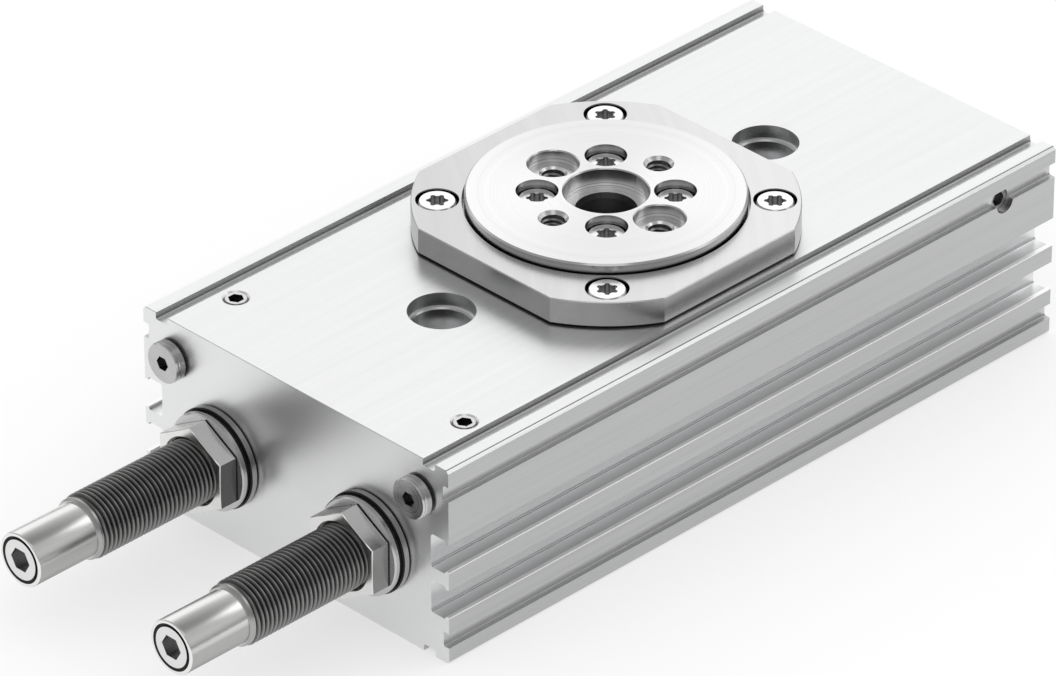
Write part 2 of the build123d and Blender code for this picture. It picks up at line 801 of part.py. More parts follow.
def make_side_screws():
    """Set screws sunk in the side drillings at the rear end."""
    screw_body = set_screw(side_screw_diameter, side_screw_length, side_screw_sink)
    return [Pos(top_screw_station, sign * half_width, side_screw_height) * Rot(-90 * sign, 0, 0) * screw_body
            for sign in sides.values()]


# Rear covers

def cover_ring_groove():
    """Start and end of the O-ring groove in a rear cover."""
    start = cover_front + cover_ring_setback
    return start, start + cover_ring_section


def make_rear_cover(side):
    """Round cover with an O-ring groove and a thread to pull it out by."""
    start, end = cover_ring_groove()
    outside = bore_diameter - 2 * fit_clearance
    back = cover_front + rear_cover_thickness
    cover = rod_x(outside, cover_front, back)
    cover -= tube_x(bore_diameter + cut_margin, outside - 2 * cover_ring_section, start, end)
    cover -= rod_x(cover_thread_diameter, back - cover_thread_depth, back + cut_margin)
    return on_cylinder(cover, side)


def make_cover_ring(side):
    """O-ring of a rear cover, at its squeezed size."""
    start, end = cover_ring_groove()
    outside = bore_diameter - 2 * fit_clearance
    return on_cylinder(tube_x(outside, outside - 2 * cover_ring_section, start, end), side)


def make_circlip(side):
    """Internal circlip: open ring with two eyes, gap downwards."""
    outer = bore_radius + circlip_groove_depth - fit_clearance
    inner = outer - circlip_height
    ring = Circle(outer) - Circle(inner)
    half_gap = radians(circlip_gap_angle / 2)
    far = 2 * outer
    wedge = make_face(Polyline((0, 0), (-far * sin(half_gap), -far * cos(half_gap)),
                               (far * sin(half_gap), -far * cos(half_gap)), close=True))
    ring -= wedge
    eye_radius = circlip_height
    reach = bore_radius - eye_radius - circlip_eye_gap
    eye_angle = half_gap + eye_radius / reach
    for sign in (1, -1):
        spot = Pos(sign * reach * sin(eye_angle), -reach * cos(eye_angle))
        ring += spot * Circle(eye_radius)
        ring -= spot * Circle(circlip_eye_hole / 2)
    start = half_length - rear_cover_inset - circlip_thickness
    return on_cylinder(extrude(Plane.YZ.offset(start) * ring, circlip_thickness), side)


# All nodes

def solids_of(shape):
    """Flat list of the solids in a shape or a list of shapes."""
    if isinstance(shape, (list, tuple)):
        return [solid for item in shape for solid in solids_of(item)]
    return list(shape.solids())


def build_nodes():
    nodes = {"housing": make_housing(), "bearing_plate": make_plate(), "dust_seal": make_dust_seal(),
             "pinion_shaft": make_pinion(), "output_flange": make_flange(),
             "top_set_screws": make_top_screws(), "side_set_screws": make_side_screws()}
    plate_screw_top = plate_top - plate_screw_sink
    plate_screw_length = plate_screw_top - plate_screw_head - plate_screw_end_gap - plate_screw_floor()
    plate_screw = Pos(0, 0, plate_screw_top) * screw(plate_screw_head, plate_screw_length)
    flange_screw = Pos(0, 0, flange_top - flange_screw_sink) * screw(flange_screw_head, flange_screw_length)
    nodes["plate_screws"] = round_the_flange(plate_screw, plate_screw_radius, 45, 4)
    nodes["flange_screws"] = round_the_flange(flange_screw, flange_screw_circle / 2, 45, 4)
    upper = ball_bearing(upper_bearing_bore, upper_bearing_outside, upper_bearing_width,
                         upper_ball_diameter, upper_ball_count, upper_bearing_bottom)
    lower = ball_bearing(journal_diameter, lower_bearing_outside, lower_bearing_width,
                         lower_ball_diameter, lower_ball_count, lower_lip_height)
    for name in upper:
        nodes["upper_bearing_" + name] = upper[name]
        nodes["lower_bearing_" + name] = lower[name]
    stack = front_stack()
    for side in sides:
        nodes["piston_rack_" + side] = make_rack(side)
        nodes["piston_seals_" + side] = piston_rings(side, ["front_seal", "rear_seal"], seal_groove_depth,
                                                     seal_width)
        nodes["guide_rings_" + side] = piston_rings(side, ["front_guide", "rear_guide"], guide_thickness,
                                                    guide_width)
        nodes["magnet_ring_" + side] = piston_rings(side, ["magnet"], magnet_thickness, magnet_width)
        nodes["absorber_sleeve_" + side] = on_cylinder(make_sleeve(), side)
        nodes["absorber_cartridge_" + side] = on_cylinder(make_cartridge(), side)
        nodes["absorber_plunger_" + side] = on_cylinder(make_plunger(), side)
        nodes["end_plug_" + side] = on_cylinder(make_end_plug(), side)
        nodes["end_ring_" + side] = on_cylinder(make_end_ring(), side)
        seat_ring = bevelled_ring(seat_ring_diameter, stack["seat_ring"], seat_ring_thickness, ring_bevel)
        nodes["seat_ring_" + side] = on_cylinder(seat_ring, side)
        sealing_ring = bevelled_ring(sealing_ring_diameter, stack["sealing_ring"], sealing_ring_thickness,
                                     sealing_ring_bevel)
        nodes["sealing_ring_" + side] = on_cylinder(sealing_ring, side)
        washer = bevelled_ring(washer_diameter, stack["washer"], washer_thickness, ring_bevel)
        nodes["washer_" + side] = on_cylinder(washer, side)
        nodes["lock_nut_" + side] = on_cylinder(make_nut(), side)
        nodes["port_plug_" + side] = make_port_plug(side)
        nodes["plug_ring_" + side] = make_plug_ring(side)
        nodes["rear_cover_" + side] = make_rear_cover(side)
        nodes["cover_ring_" + side] = make_cover_ring(side)
        nodes["circlip_" + side] = make_circlip(side)
    return nodes


def main():
    os.makedirs("parts", exist_ok=True)
    for name, shape in build_nodes().items():
        solids = solids_of(shape)
        part = solids[0] if len(solids) == 1 else Compound(solids)
        export_step(part, f"parts/{name}.step")


main()
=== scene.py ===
import json
import math

import bmesh
import bpy
from mathutils import Matrix, Vector


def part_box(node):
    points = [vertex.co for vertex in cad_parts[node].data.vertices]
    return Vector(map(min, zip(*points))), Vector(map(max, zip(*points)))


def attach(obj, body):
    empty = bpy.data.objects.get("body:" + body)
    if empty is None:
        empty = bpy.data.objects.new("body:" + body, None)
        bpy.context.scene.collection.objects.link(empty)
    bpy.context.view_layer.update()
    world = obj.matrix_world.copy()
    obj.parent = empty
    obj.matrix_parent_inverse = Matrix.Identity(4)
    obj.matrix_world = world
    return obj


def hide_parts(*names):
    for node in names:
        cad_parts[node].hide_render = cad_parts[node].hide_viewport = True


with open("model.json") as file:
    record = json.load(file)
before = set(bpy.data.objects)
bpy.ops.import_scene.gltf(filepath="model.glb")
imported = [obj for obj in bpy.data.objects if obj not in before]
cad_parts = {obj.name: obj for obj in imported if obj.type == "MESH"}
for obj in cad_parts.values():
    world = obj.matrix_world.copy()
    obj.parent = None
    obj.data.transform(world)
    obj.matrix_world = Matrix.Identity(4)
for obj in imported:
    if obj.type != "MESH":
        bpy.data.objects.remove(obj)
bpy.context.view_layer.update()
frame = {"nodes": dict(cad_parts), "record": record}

MM = 0.001
SIDES = {"left": 1, "right": -1}


def mount(name):
    """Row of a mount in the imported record."""
    return next(row for row in frame["record"]["mounts"] if row["name"] == name)


# Photo camera
CAMERA_AZIMUTH = -44.916
CAMERA_ELEVATION = 31.895
CAMERA_LENS = 304.9
CAMERA_SENSOR = 36.0
CAMERA_RIGHT_SHIFT = -13.555 * MM
CAMERA_UP_SHIFT = 13.037 * MM
CAMERA_DISTANCE = 1573.28 * MM
CAMERA_CLIP = (0.05, 20.0)

# Floor, sky and lamps
FLOOR_SIZE = 20.0
FLOOR_ALBEDO = 0.86
FLOOR_ROUGHNESS = 0.9
FLOOR_SPECULAR = 0.1
FLOOR_WHITE_SHARE = 0.55
SKY_HORIZON = 0.12
SKY_BAND = 1.14
SKY_BAND_RISE = (0.02, 0.32)
SKY_CAP = Vector((0.25, 0.10, 0.96))
SKY_CAP_REACH = (0.78, 0.93)
SKY_CAP_SHARE = 0.45
SKY_BEHIND = Vector((1.0, 1.0, 0.0))
SKY_BEHIND_REACH = (0.05, 0.62)
SKY_AROUND_SHARE = 0.42
SKY_FOR_FLOOR = 1.18
SOFTBOXES = {
    "side_softbox": {"place": Vector((0.84, -0.59, 1.10)), "size": (0.7, 0.6), "power": 1.5},
    "front_softbox": {"place": Vector((-0.52, -0.52, 1.18)), "size": (0.6, 0.6), "power": 0.8},
}

# Sizes from the frame
HOUSING_LOW, HOUSING_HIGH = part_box("housing")
PLATE_LOW, PLATE_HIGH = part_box("bearing_plate")
FLANGE_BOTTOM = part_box("output_flange")[0].z
FLANGE_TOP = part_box("output_flange")[1].z
FLANGE_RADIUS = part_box("output_flange")[1].x
FLANGE_HOLES = mount("flange_threads")["dims"]["count"]
FLANGE_HOLE_RADIUS = mount("flange_threads")["dims"]["pcd_mm"] / 2 * MM
TAPPED_RADIUS = mount("flange_threads")["dims"]["hole_r_mm"] * MM
CENTRING_RADIUS = mount("centring_bore")["dims"]["r_mm"] * MM
SEAT_RADIUS = mount("sleeve_seat_left")["dims"]["r_mm"] * MM
PORT_OFFSET, PORT_HEIGHT = mount("supply_port_left")["pos_m"][1:]
SLOT_HEIGHTS = [mount("sensor_slot_{}_left".format(level))["pos_m"][2] for level in ("lower", "upper")]

# Sizes that repeat the solids
BORE_OFFSET = 18.6 * MM
BORE_HEIGHT = 16.4 * MM
PLATE_SCREW_PLACE = 29.3 * MM * math.sqrt(0.5)
FLANGE_SCREW_PLACE = 12.0 * MM * math.sqrt(0.5)
CENTRING_DEPTH = 3.6 * MM
SLEEVE_SEAT_DEPTH = 2.07 * MM
SLOT_HALF = 3.35 * MM
SLOT_BACK = 33.0 * MM
SLOT_MOUTH = 36.3 * MM
GROOVE_INSET = 4.6 * MM
GROOVE_HALF = 1.5 * MM
GROOVE_DEPTH = 1.35 * MM

# Absorber sleeve
SLEEVE_BORE = 4.38 * MM
SLEEVE_SMOOTH = 5.05 * MM
SLEEVE_SMOOTH_LENGTH = 13.1 * MM
SLEEVE_END_BEVEL = 0.25 * MM
SLEEVE_BEVEL_ALONG = 0.4 * SLEEVE_END_BEVEL
SLEEVE_BEVEL_DROP = 0.3 * SLEEVE_END_BEVEL
SLEEVE_COLLAR = 0.45 * MM
SLEEVE_COLLAR_FOOT = 0.1 * MM
SLEEVE_COLLAR_RISE = 0.3 * MM
SLEEVE_COLLAR_SLOPE = 0.18 * MM
SLEEVE_TAIL_BEVEL = 0.2 * MM
SLEEVE_SEGMENTS = 96
SLEEVE_PITCH = 1.0 * MM
SLEEVE_ROOT = 5.36 * MM
SLEEVE_CREST = 5.95 * MM
SLEEVE_CREST_DROP = 0.03 * MM
SLEEVE_CREST_HALF = 0.10 * SLEEVE_PITCH
SLEEVE_RIDGE_HALF = 0.46 * SLEEVE_PITCH
SLEEVE_RIDGE_LEAD = 0.4 * SLEEVE_RIDGE_HALF
SLEEVE_RUNOUT = 1.2 * SLEEVE_PITCH
SLEEVE_RIDGE_SEGMENTS = 72
SLEEVE_RIDGE_FADE = 0.5

# Lock nut
NUT_CORNERS = 6
NUT_STEPS = 24
NUT_FLAT = 7.5 * MM
NUT_HOLE = 6.1 * MM
NUT_HOLE_BEVEL = 0.4 * MM
NUT_EDGE_BEVEL = 0.10 * MM
NUT_FRONT_BEVEL = 0.8 * NUT_EDGE_BEVEL
NUT_CORNER_SLOPE = 7.0
NUT_SMOOTH_ANGLE = 20.0

# Thread turns in tapped holes
TAPPED_PITCH = 0.8 * MM
TAPPED_HEIGHT = 0.3 * MM
TAPPED_RIDGE_HALF = 0.42 * TAPPED_PITCH
TAPPED_TIP_HALF = 0.06 * MM
TAPPED_BEVEL = 0.6 * MM
TAPPED_BELOW_SEAT = 0.4 * MM
TAPPED_SEGMENTS = 40
TAPPED_FADE = 0.3
PORT_BEVEL = 0.3 * MM
PORT_THREAD_LENGTH = 5.5 * MM

# Meshes in general
SMOOTH_ANGLE = 35.0
EMBED = 0.03 * MM
RIDGE_LEAST_HEIGHT = 0.04

# Finishes in general: usual range of a noise, tones of painted shade in dark gaps, and limits of a surface's
# direction
NOISE_RANGE = (0.3, 0.7)
NOISE_DETAIL = 2.0
FINE_DETAIL = 3.0
BLACK = 0.02
PAINTED_GAP_SHADE = 0.10
NO_TINT = (1.0, 1.0, 1.0)
SOFT_METAL_TINT = (1.0, 0.995, 0.985)
SLANTED = 0.7
STRAIGHT_UP = 0.9
ALONG_LIMIT = 0.5
FLAT_RANGE = (0.6, 0.95)

# Housing finish
HOUSING_TINT = (0.995, 1.0, 1.005)
HOUSING_FLAT_RANGE = (0.75, 0.95)
HOUSING_FINE = (26.0, 5200.0, 5200.0)
HOUSING_BROAD = (9.0, 700.0, 700.0)
HOUSING_BROAD_SHARE = 0.35
# Side, top and end tones: partly the finish, partly painted light and shade that differs by facing
HOUSING_SIDE_TONES = (0.47, 0.55)
HOUSING_TOP_TONES = (0.86, 0.94)
HOUSING_END_TONES = (0.80, 0.83)
HOUSING_END_CLOUD = 40.0
HOUSING_END_GRAIN = 2600.0
HOUSING_ROUGHNESS = (0.28, 0.38)
HOUSING_END_ROUGHNESS = 0.33
HOUSING_RELIEF = (0.10, 0.04 * MM)
HOUSING_ANISOTROPY = 0.45
# Pale tone on the slanted lip bevels: a painted highlight
LIP_BEVEL_TONE = 0.86
LIP_BEVEL_REACH = 0.1
LIP_BEVEL_DEPTH = 0.5 * MM

# Painted light and shade in the sensor slots: pale back walls, darker floors, dark corner lines, bright lip
# lines
SLOT_MARGIN = 0.1 * MM
SLOT_CORNER = 0.25 * MM
SLOT_LIP_EDGE = -2.8 * MM
SLOT_EDGE_HALF = 0.13 * MM
SLOT_BACK_LIMIT = 0.7
SLOT_FLOOR_SHADES = (1.15, 0.7)
SLOT_CORNER_SHADE = 0.25
SLOT_WALL_PAINTED_LIGHT = 1.55
SLOT_EDGE_PAINTED_HIGHLIGHT = 1.9

GROOVE_MARGIN = 0.05 * MM
# Painted light and shade in the side grooves: slightly paler walls, dark lower walls
GROOVE_SHADE = 1.15
GROOVE_LOWER_WALL = 0.5
GROOVE_LOWER_WALL_SHADE = 0.6
# Painted shade on the top: groove walls, and fine dark lines along the front edge and the lip
TOP_GROOVE_WALL = 0.4
TOP_GROOVE_WALL_SHADES = (0.45, 0.85)
TOP_GROOVE_FLOOR_SHADE = 0.95
FRONT_LINE = 0.16 * MM
FRONT_LINE_SHADE = 0.32
LIP_LINE_INSET = 0.60 * MM
LIP_LINE_HALF = 0.15 * MM
LIP_LINE_SHADE = 0.25

# Turned metal, with the depths of the fine lines in the walls of the disc's bores
TURNED_FINE = 5200.0
TURNED_BROAD = TURNED_FINE / 7.0
TURNED_BROAD_OFFSET = 3.0
TURNED_BROAD_SHARE = 0.4
TURNED_ROUGHNESS = (0.92, 1.1)
TURNED_RELIEF = 0.02
TURNED_DEPTH = 0.03 * MM
TURNED_ANISOTROPY = 0.8
TURNED_QUARTER = 0.25
# Tone on edge bevels of turned parts: a painted highlight
TURNED_EDGE_REACH = 0.2
TURNED_EDGE_TONE = 0.62
CENTRING_LINES = (2.9 * MM, 3.45 * MM)
SEAT_LINES = (1.72 * MM,)
LINE_HALF = 0.05 * MM
# Painted shade on the walls of the disc's bores: dark near the top, paler below
BORE_WALL_REACH = 0.3 * MM
BORE_WALL_TONES = (0.42, 0.95)
BORE_LINE_TONE = 0.25
DISC_RELIEF = 0.05
# Painted shade on the disc's rim, going down to black where it meets the plate
DISC_RIM_INSET = 0.45 * MM
DISC_RIM_FOOT = -0.3 * MM
DISC_RIM_HEAD = 0.8 * MM

# Bearing plate finish
GRINDING_CENTRE = (-0.14, 0.11)
GROUND_FINE = (4200.0, 900.0)
GROUND_BROAD = (520.0, 200.0)
GROUND_BROAD_OFFSET = 1.7
GROUND_BROAD_SHARE = 0.45
GROUND_FLAT_RANGE = (0.6, 0.9)
GROUND_TOP_TONES = (0.67, 0.76)
GROUND_SIDE_TONES = (0.45, 0.51)
GROUND_ROUGHNESS = (0.27, 0.34)
# Painted light across the top, and across the corner facets
GROUND_SWEEP = (-42.0 * MM, 42.0 * MM)
GROUND_SWEEP_SHADES = (0.95, 1.14)
GROUND_CORNER_LIMIT = 0.25
GROUND_CORNER = (-15.0 * MM, 13.0 * MM)
GROUND_CORNER_SHADES = (1.32, 0.85)
# Painted shade: black contact line at the plate's foot, black rings about its screws, black wall by the disc
PLATE_CONTACT_SHADE = 0.45 * MM
PLATE_GAP_RADIUS = 3.95 * MM
PLATE_GAP_DEPTH = 0.25 * MM
PLATE_BORE_MARGIN = 0.6 * MM

# Screws, plain metal, nuts, rings and plugs
SCREW_GRAIN = 3800.0
SCREW_FACE = (0.80, 0.97)
SCREW_FACE_DEPTH = (-0.42 * MM, -0.36 * MM)
SCREW_BRIGHT_SHARES = (0.95, 1.0)
SCREW_DARK_SHARES = (0.8, 1.0)
SCREW_ROUGHNESS = (0.9, 1.1)
SCREW_RELIEF = (0.015, 0.02 * MM)
# Painted shade in the recesses about the flange screws
FLANGE_GAP_RADIUS = 3.8 * MM
FLANGE_GAP_DEPTH = 0.15 * MM
PLAIN_GRAIN = 2200.0
PLAIN_CLOUD = 160.0
PLAIN_CLOUD_SHARE = 0.5
PLAIN_ROUGHNESS = (0.92, 1.08)
PLAIN_RELIEF = (0.012, 0.02 * MM)
SMALL_CLOUD = 300.0
NUT_TONES = (0.78, 0.82)
# Painted shade on the nuts' side flats, darker on the left nut than on the right
NUT_SIDE_TONES = {"left": 0.13, "right": 0.30}
NUT_SIDE_RANGE = (0.93, 0.98)
NUT_ROUGHNESS = (0.22, 0.26)
NUT_CONTACT_SHADE = 0.22 * MM
RING_ROUGHNESS = (0.24, 0.28)
# Painted shade in bands at the seat ring's front and back edges
SEAT_RING_FRONT_DARK = 0.30 * MM
SEAT_RING_BACK_DARK = 0.25 * MM
SOCKET_MARGIN = 0.1 * MM
# Painted shade inside the plugs' sockets, and a painted highlight on the port plugs' edge bevels
END_SOCKET_REACH = 2.5 * MM
END_SOCKET_TONE = 0.45
END_PLUG_BORDER = 0.62 * MM
PORT_SOCKET_REACH = 1.6 * MM
PORT_SOCKET_TONE = 0.16
PORT_EDGE = 3.0 * MM

# Sleeve finish
SLEEVE_CREST_RANGE = (SLEEVE_ROOT + 0.25 * MM, SLEEVE_CREST - 0.06 * MM)
SLEEVE_STEP_MARGIN = 0.05 * MM
# Thread tones: paler crests are a painted highlight, darker valleys painted shade
SLEEVE_VALLEY_TONE = 0.13
SLEEVE_CREST_TONE = 0.27
SLEEVE_COLLAR_TONE = 0.42
SLEEVE_COLLAR_BAND = 0.95 * MM
SLEEVE_THREAD_ROUGHNESS = 0.34
SLEEVE_SCRATCHES = (4200.0, 2000.0)
SLEEVE_SMOOTH_TONES = (0.82, 0.84)
SLEEVE_SMOOTH_ROUGHNESS = (0.26, 0.275)
# Painted highlight band round the smooth end, and painted shade on its lower side and underneath
SLEEVE_BAND = 0.50
SLEEVE_BAND_REACH = (0.08, 0.22)
SLEEVE_BAND_SHADES = (1.17, 1.0)
SLEEVE_LOWER_RANGE = (0.12, 0.34)
SLEEVE_LOWER_SHADES = (0.53, 1.0)
SLEEVE_UNDER_RANGE = (-0.65, -0.30)
SLEEVE_UNDER_SHADES = (0.55, 1.0)

# Rubber and plastic
RUBBER_TONE = 0.012
RUBBER_SPREAD = (0.7, 1.3)
RUBBER_GRAIN = 1500.0
RUBBER_SPECULAR = 0.15
RUBBER_ROUGHNESS = (0.42, 0.6)
RUBBER_RELIEF = (0.1, 0.03 * MM)
PLASTIC_GRAIN = 900.0
PLASTIC_TONES = (0.92, 1.05)
PLASTIC_ROUGHNESS = (0.9, 1.15)


# Mesh helpers

def mesh_object(name, points, faces, smooth_angle=SMOOTH_ANGLE):
    """Mesh object from points and faces, with smooth shading below an angle."""
    mesh = bpy.data.meshes.new(name)
    mesh.from_pydata(points, [], faces)
    mesh.validate()
    mesh.update()
    build = bmesh.new()
    build.from_mesh(mesh)
    bmesh.ops.recalc_face_normals(build, faces=build.faces)
    for face in build.faces:
        face.smooth = True
    limit = math.radians(smooth_angle)
    for edge in build.edges:
        edge.smooth = len(edge.link_faces) == 2 and edge.calc_face_angle(0.0) < limit
    build.to_mesh(mesh)
    build.free()
    piece = bpy.data.objects.new(name, mesh)
    bpy.context.scene.collection.objects.link(piece)
    return piece


def rows_of_faces(rows, count, closed):
    """Four-sided faces between rows of points, where each row is a closed outline."""
    faces = []
    for row in range(rows if closed else rows - 1):
        after = (row + 1) % rows
        for index in range(count):
            following = (index + 1) % count
            faces.append((row * count + index, row * count + following,
                          after * count + following, after * count + index))
    return faces


def lathe(outline, axis_point, axis, start, segments):
    """Points and faces of a closed outline of (along, radius) turned about an axis."""
    side = axis.cross(start).normalized()
    points = []
    for step in range(segments):
        angle = 2 * math.pi * step / segments
        spoke = start * math.cos(angle) + side * math.sin(angle)
        points += [axis_point + axis * along + spoke * radius for along, radius in outline]
    return points, rows_of_faces(segments, len(outline), True)


def helical_ridge(profile, axis_point, axis, start, pitch, turns, segments, fade):
    """Points and faces of a ridge wound on a helix, whose height fades in and out at its ends."""
    side = axis.cross(start).normalized()
    base = profile[0][1]
    total = int(turns * segments)
    points = []
    for step in range(total + 1):
        angle = 2 * math.pi * step / segments
        spoke = start * math.cos(angle) + side * math.sin(angle)
        near_end = min(step, total - step) / (fade * segments)
        height = min(1.0, RIDGE_LEAST_HEIGHT + near_end)
        for along, radius in profile:
            grown = base + (radius - base) * height
            points.append(axis_point + axis * (pitch * step / segments + along) + spoke * grown)
    count = len(profile)
    ends = [tuple(range(count)), tuple(reversed(range(total * count, total * count + count)))]
    return points, ends + rows_of_faces(total + 1, count, False)


def joined(*parts):
    """One list of points and one of faces from several."""
    points = []
    faces = []
    for part_points, part_faces in parts:
        offset = len(points)
        points += part_points
        faces += [tuple(index + offset for index in face) for face in part_faces]
    return points, faces


# Shader helpers

def grey(value):
    return (value, value, value, 1.0)


class Nodes:
    """Short ways to add nodes to a material or a world."""

    def __init__(self, owner):
        owner.use_nodes = True
        self.nodes = owner.node_tree.nodes
        self.links = owner.node_tree.links

    def feed(self, target, value):
        """Link a socket to another, or set it to a value."""
        if isinstance(value, bpy.types.NodeSocket):
            self.links.new(value, target)
        else:
            target.default_value = value

    def coordinate(self, name):
        return self.nodes.new("ShaderNodeTexCoord").outputs[name]

    def rays(self):
        """Kinds of ray, as sockets by name."""
        return self.nodes.new("ShaderNodeLightPath").outputs

    def split(self, vector):
        node = self.nodes.new("ShaderNodeSeparateXYZ")
        self.links.new(vector, node.inputs[0])
        return node.outputs

    def vector(self, x, y, z):
        node = self.nodes.new("ShaderNodeCombineXYZ")
        for socket, value in zip(node.inputs, (x, y, z)):
            self.feed(socket, value)
        return node.outputs[0]

    def scaled(self, vector, scale):
        node = self.nodes.new("ShaderNodeVectorMath")
        node.operation = "MULTIPLY"
        self.links.new(vector, node.inputs[0])
        node.inputs[1].default_value = scale
        return node.outputs[0]

    def towards(self, vector, direction):
        """Share of a vector that points in a direction."""
        node = self.nodes.new("ShaderNodeVectorMath")
        node.operation = "DOT_PRODUCT"
        self.links.new(vector, node.inputs[0])
        node.inputs[1].default_value = direction.normalized()
        return node.outputs["Value"]

    def maths(self, operation, first, second=0.0):
        node = self.nodes.new("ShaderNodeMath")
        node.operation = operation
        self.feed(node.inputs[0], first)
        self.feed(node.inputs[1], second)
        return node.outputs[0]

    def product(self, first, *others):
        for value in others:
            first = self.maths("MULTIPLY", first, value)
        return first

    def either(self, first, *others):
        """Largest of several shares."""
        for value in others:
            first = self.maths("MAXIMUM", first, value)
        return first

    def minus(self, first, second):
        return self.maths("SUBTRACT", first, second)

    def size(self, value):
        return self.maths("ABSOLUTE", value)

    def above(self, value, limit):
        """1 where a value is above a limit."""
        return self.maths("GREATER_THAN", value, limit)

    def below(self, value, limit):
        """1 where a value is below a limit."""
        return self.maths("LESS_THAN", value, limit)

    def close_to(self, value, centre, reach):
        """1 where a value is within a reach of a centre."""
        return self.below(self.size(self.minus(value, centre)), reach)

    def distance(self, first, second):
        """Length over two offsets at right angles."""
        squares = self.maths("ADD", self.product(first, first), self.product(second, second))
        return self.maths("SQRT", squares)

    def spread(self, value, source, target, smooth=False):
        """Map a range of one value to another range, with the ends held."""
        node = self.nodes.new("ShaderNodeMapRange")
        if smooth:
            node.interpolation_type = "SMOOTHSTEP"
        self.feed(node.inputs["Value"], value)
        for socket, number in zip(("From Min", "From Max", "To Min", "To Max"), (*source, *target)):
            self.feed(node.inputs[socket], number)
        return node.outputs["Result"]

    def rise(self, value, source):
        """Share that goes from 0 to 1 over a range of a value."""
        return self.spread(value, source, (0.0, 1.0))

    def graded(self, noise, tones):
        """Value between two tones by a noise."""
        return self.spread(noise, NOISE_RANGE, tones)

    def blend(self, share, first, second):
        """Value between two, by a share."""
        node = self.nodes.new("ShaderNodeMix")
        node.data_type = "FLOAT"
        self.feed(node.inputs[0], share)
        self.feed(node.inputs[2], first)
        self.feed(node.inputs[3], second)
        return node.outputs[0]

    def shaded(self, tone, share, shade):
        """Tone times a shade, where a share is 1."""
        return self.product(tone, self.blend(share, 1.0, shade))


class Finish(Nodes):
    """Material with one shader, textured over the object's own position."""

    def __init__(self, name, metallic=1.0):
        self.material = bpy.data.materials.new(name)
        super().__init__(self.material)
        self.shader = self.nodes["Principled BSDF"]
        self.put("Metallic", metallic)

    def put(self, socket, value):
        """Set a shader socket to a value or link it."""
        self.feed(self.shader.inputs[socket], value)

    def put_tone(self, tone, tint=NO_TINT):
        """Set the colour from a tone and a tint."""
        node = self.nodes.new("ShaderNodeCombineColor")
        for socket, share in zip(node.inputs, tint):
            self.feed(socket, self.product(tone, share))
        self.put("Base Color", node.outputs[0])

    def put_roughness(self, noise, rough, shares):
        """Set the roughness to a value times a range of shares."""
        self.put("Roughness", self.graded(noise, [rough * share for share in shares]))

    def place(self):
        """Position on the object in metres, as three sockets."""
        return self.split(self.coordinate("Object"))

    def facing(self):
        """Surface direction in the object's own axes, as three sockets."""
        return self.split(self.coordinate("Normal"))

    def noise(self, vector, detail=NOISE_DETAIL):
        node = self.nodes.new("ShaderNodeTexNoise")
        node.inputs["Scale"].default_value = 1.0
        node.inputs["Detail"].default_value = detail
        self.links.new(vector, node.inputs["Vector"])
        return node.outputs["Fac"]

    def grain(self, scale, detail=NOISE_DETAIL):
        """Noise over the position, with one scale for each axis or one for all."""
        scales = scale if isinstance(scale, tuple) else (scale,) * 3
        return self.noise(self.scaled(self.coordinate("Object"), scales), detail)

    def rings(self, radius, along, scales, offset=0.0, detail=NOISE_DETAIL):
        """Noise in rings, with a scale across them and one along their axis."""
        across = self.product(radius, scales[0])
        return self.noise(self.vector(across, offset, self.product(along, scales[1])), detail)

    def bump(self, height, strength, depth):
        node = self.nodes.new("ShaderNodeBump")
        node.inputs["Strength"].default_value = strength
        node.inputs["Distance"].default_value = depth
        self.links.new(height, node.inputs["Height"])
        self.put("Normal", node.outputs["Normal"])

    def grain_direction(self, axis, amount, turn=0.0):
        """Anisotropy round one axis of the object."""
        node = self.nodes.new("ShaderNodeTangent")
        node.direction_type = "RADIAL"
        node.axis = axis
        self.put("Anisotropic", amount)
        self.put("Anisotropic Rotation", turn)
        self.put("Tangent", node.outputs[0])

    def near_four(self, place, reach, height):
        """1 within a reach of four vertical axes at equal X and Y, and below a height."""
        x, y, z = self.place()
        radius = self.distance(self.minus(self.size(x), place), self.minus(self.size(y), place))
        return self.product(self.below(radius, reach), self.below(z, height))

    def radius_about(self, **centres):
        """Distance from an axis that runs through the two coordinates given."""
        places = dict(zip("xyz", self.place()))
        return self.distance(*[self.minus(places[name], centre) for name, centre in centres.items()])


# Housing

def slot_shade(tree):
    """Painted light and shade in the sensor slots: pale back walls, and floors that darken towards the lip.
    """
    place = tree.place()
    facing = tree.facing()
    across = tree.size(place[1])
    inside = tree.product(tree.above(across, SLOT_BACK - SLOT_MARGIN), tree.below(across, SLOT_MOUTH),
                          tree.below(tree.size(facing[0]), ALONG_LIMIT))
    # A dark line painted along the inner corner of each floor: painted shade
    corner = tree.below(across, SLOT_BACK + SLOT_CORNER)
    floor_shade = tree.blend(corner, tree.spread(across, (SLOT_BACK, SLOT_MOUTH), SLOT_FLOOR_SHADES),
                             SLOT_CORNER_SHADE)
    slot = tree.blend(tree.above(tree.size(facing[1]), SLOT_BACK_LIMIT), floor_shade, SLOT_WALL_PAINTED_LIGHT)
    at_lip = tree.above(across, SLOT_MOUTH)
    shade = 1.0
    for height in SLOT_HEIGHTS:
        offset = tree.minus(place[2], height)
        near = tree.product(tree.below(tree.size(offset), SLOT_HALF), inside)
        # A bright line along each lip edge: a painted highlight
        edge = tree.product(tree.close_to(offset, SLOT_LIP_EDGE, SLOT_EDGE_HALF), at_lip)
        shade = tree.shaded(tree.shaded(shade, near, slot), edge, SLOT_EDGE_PAINTED_HIGHLIGHT)
    return shade


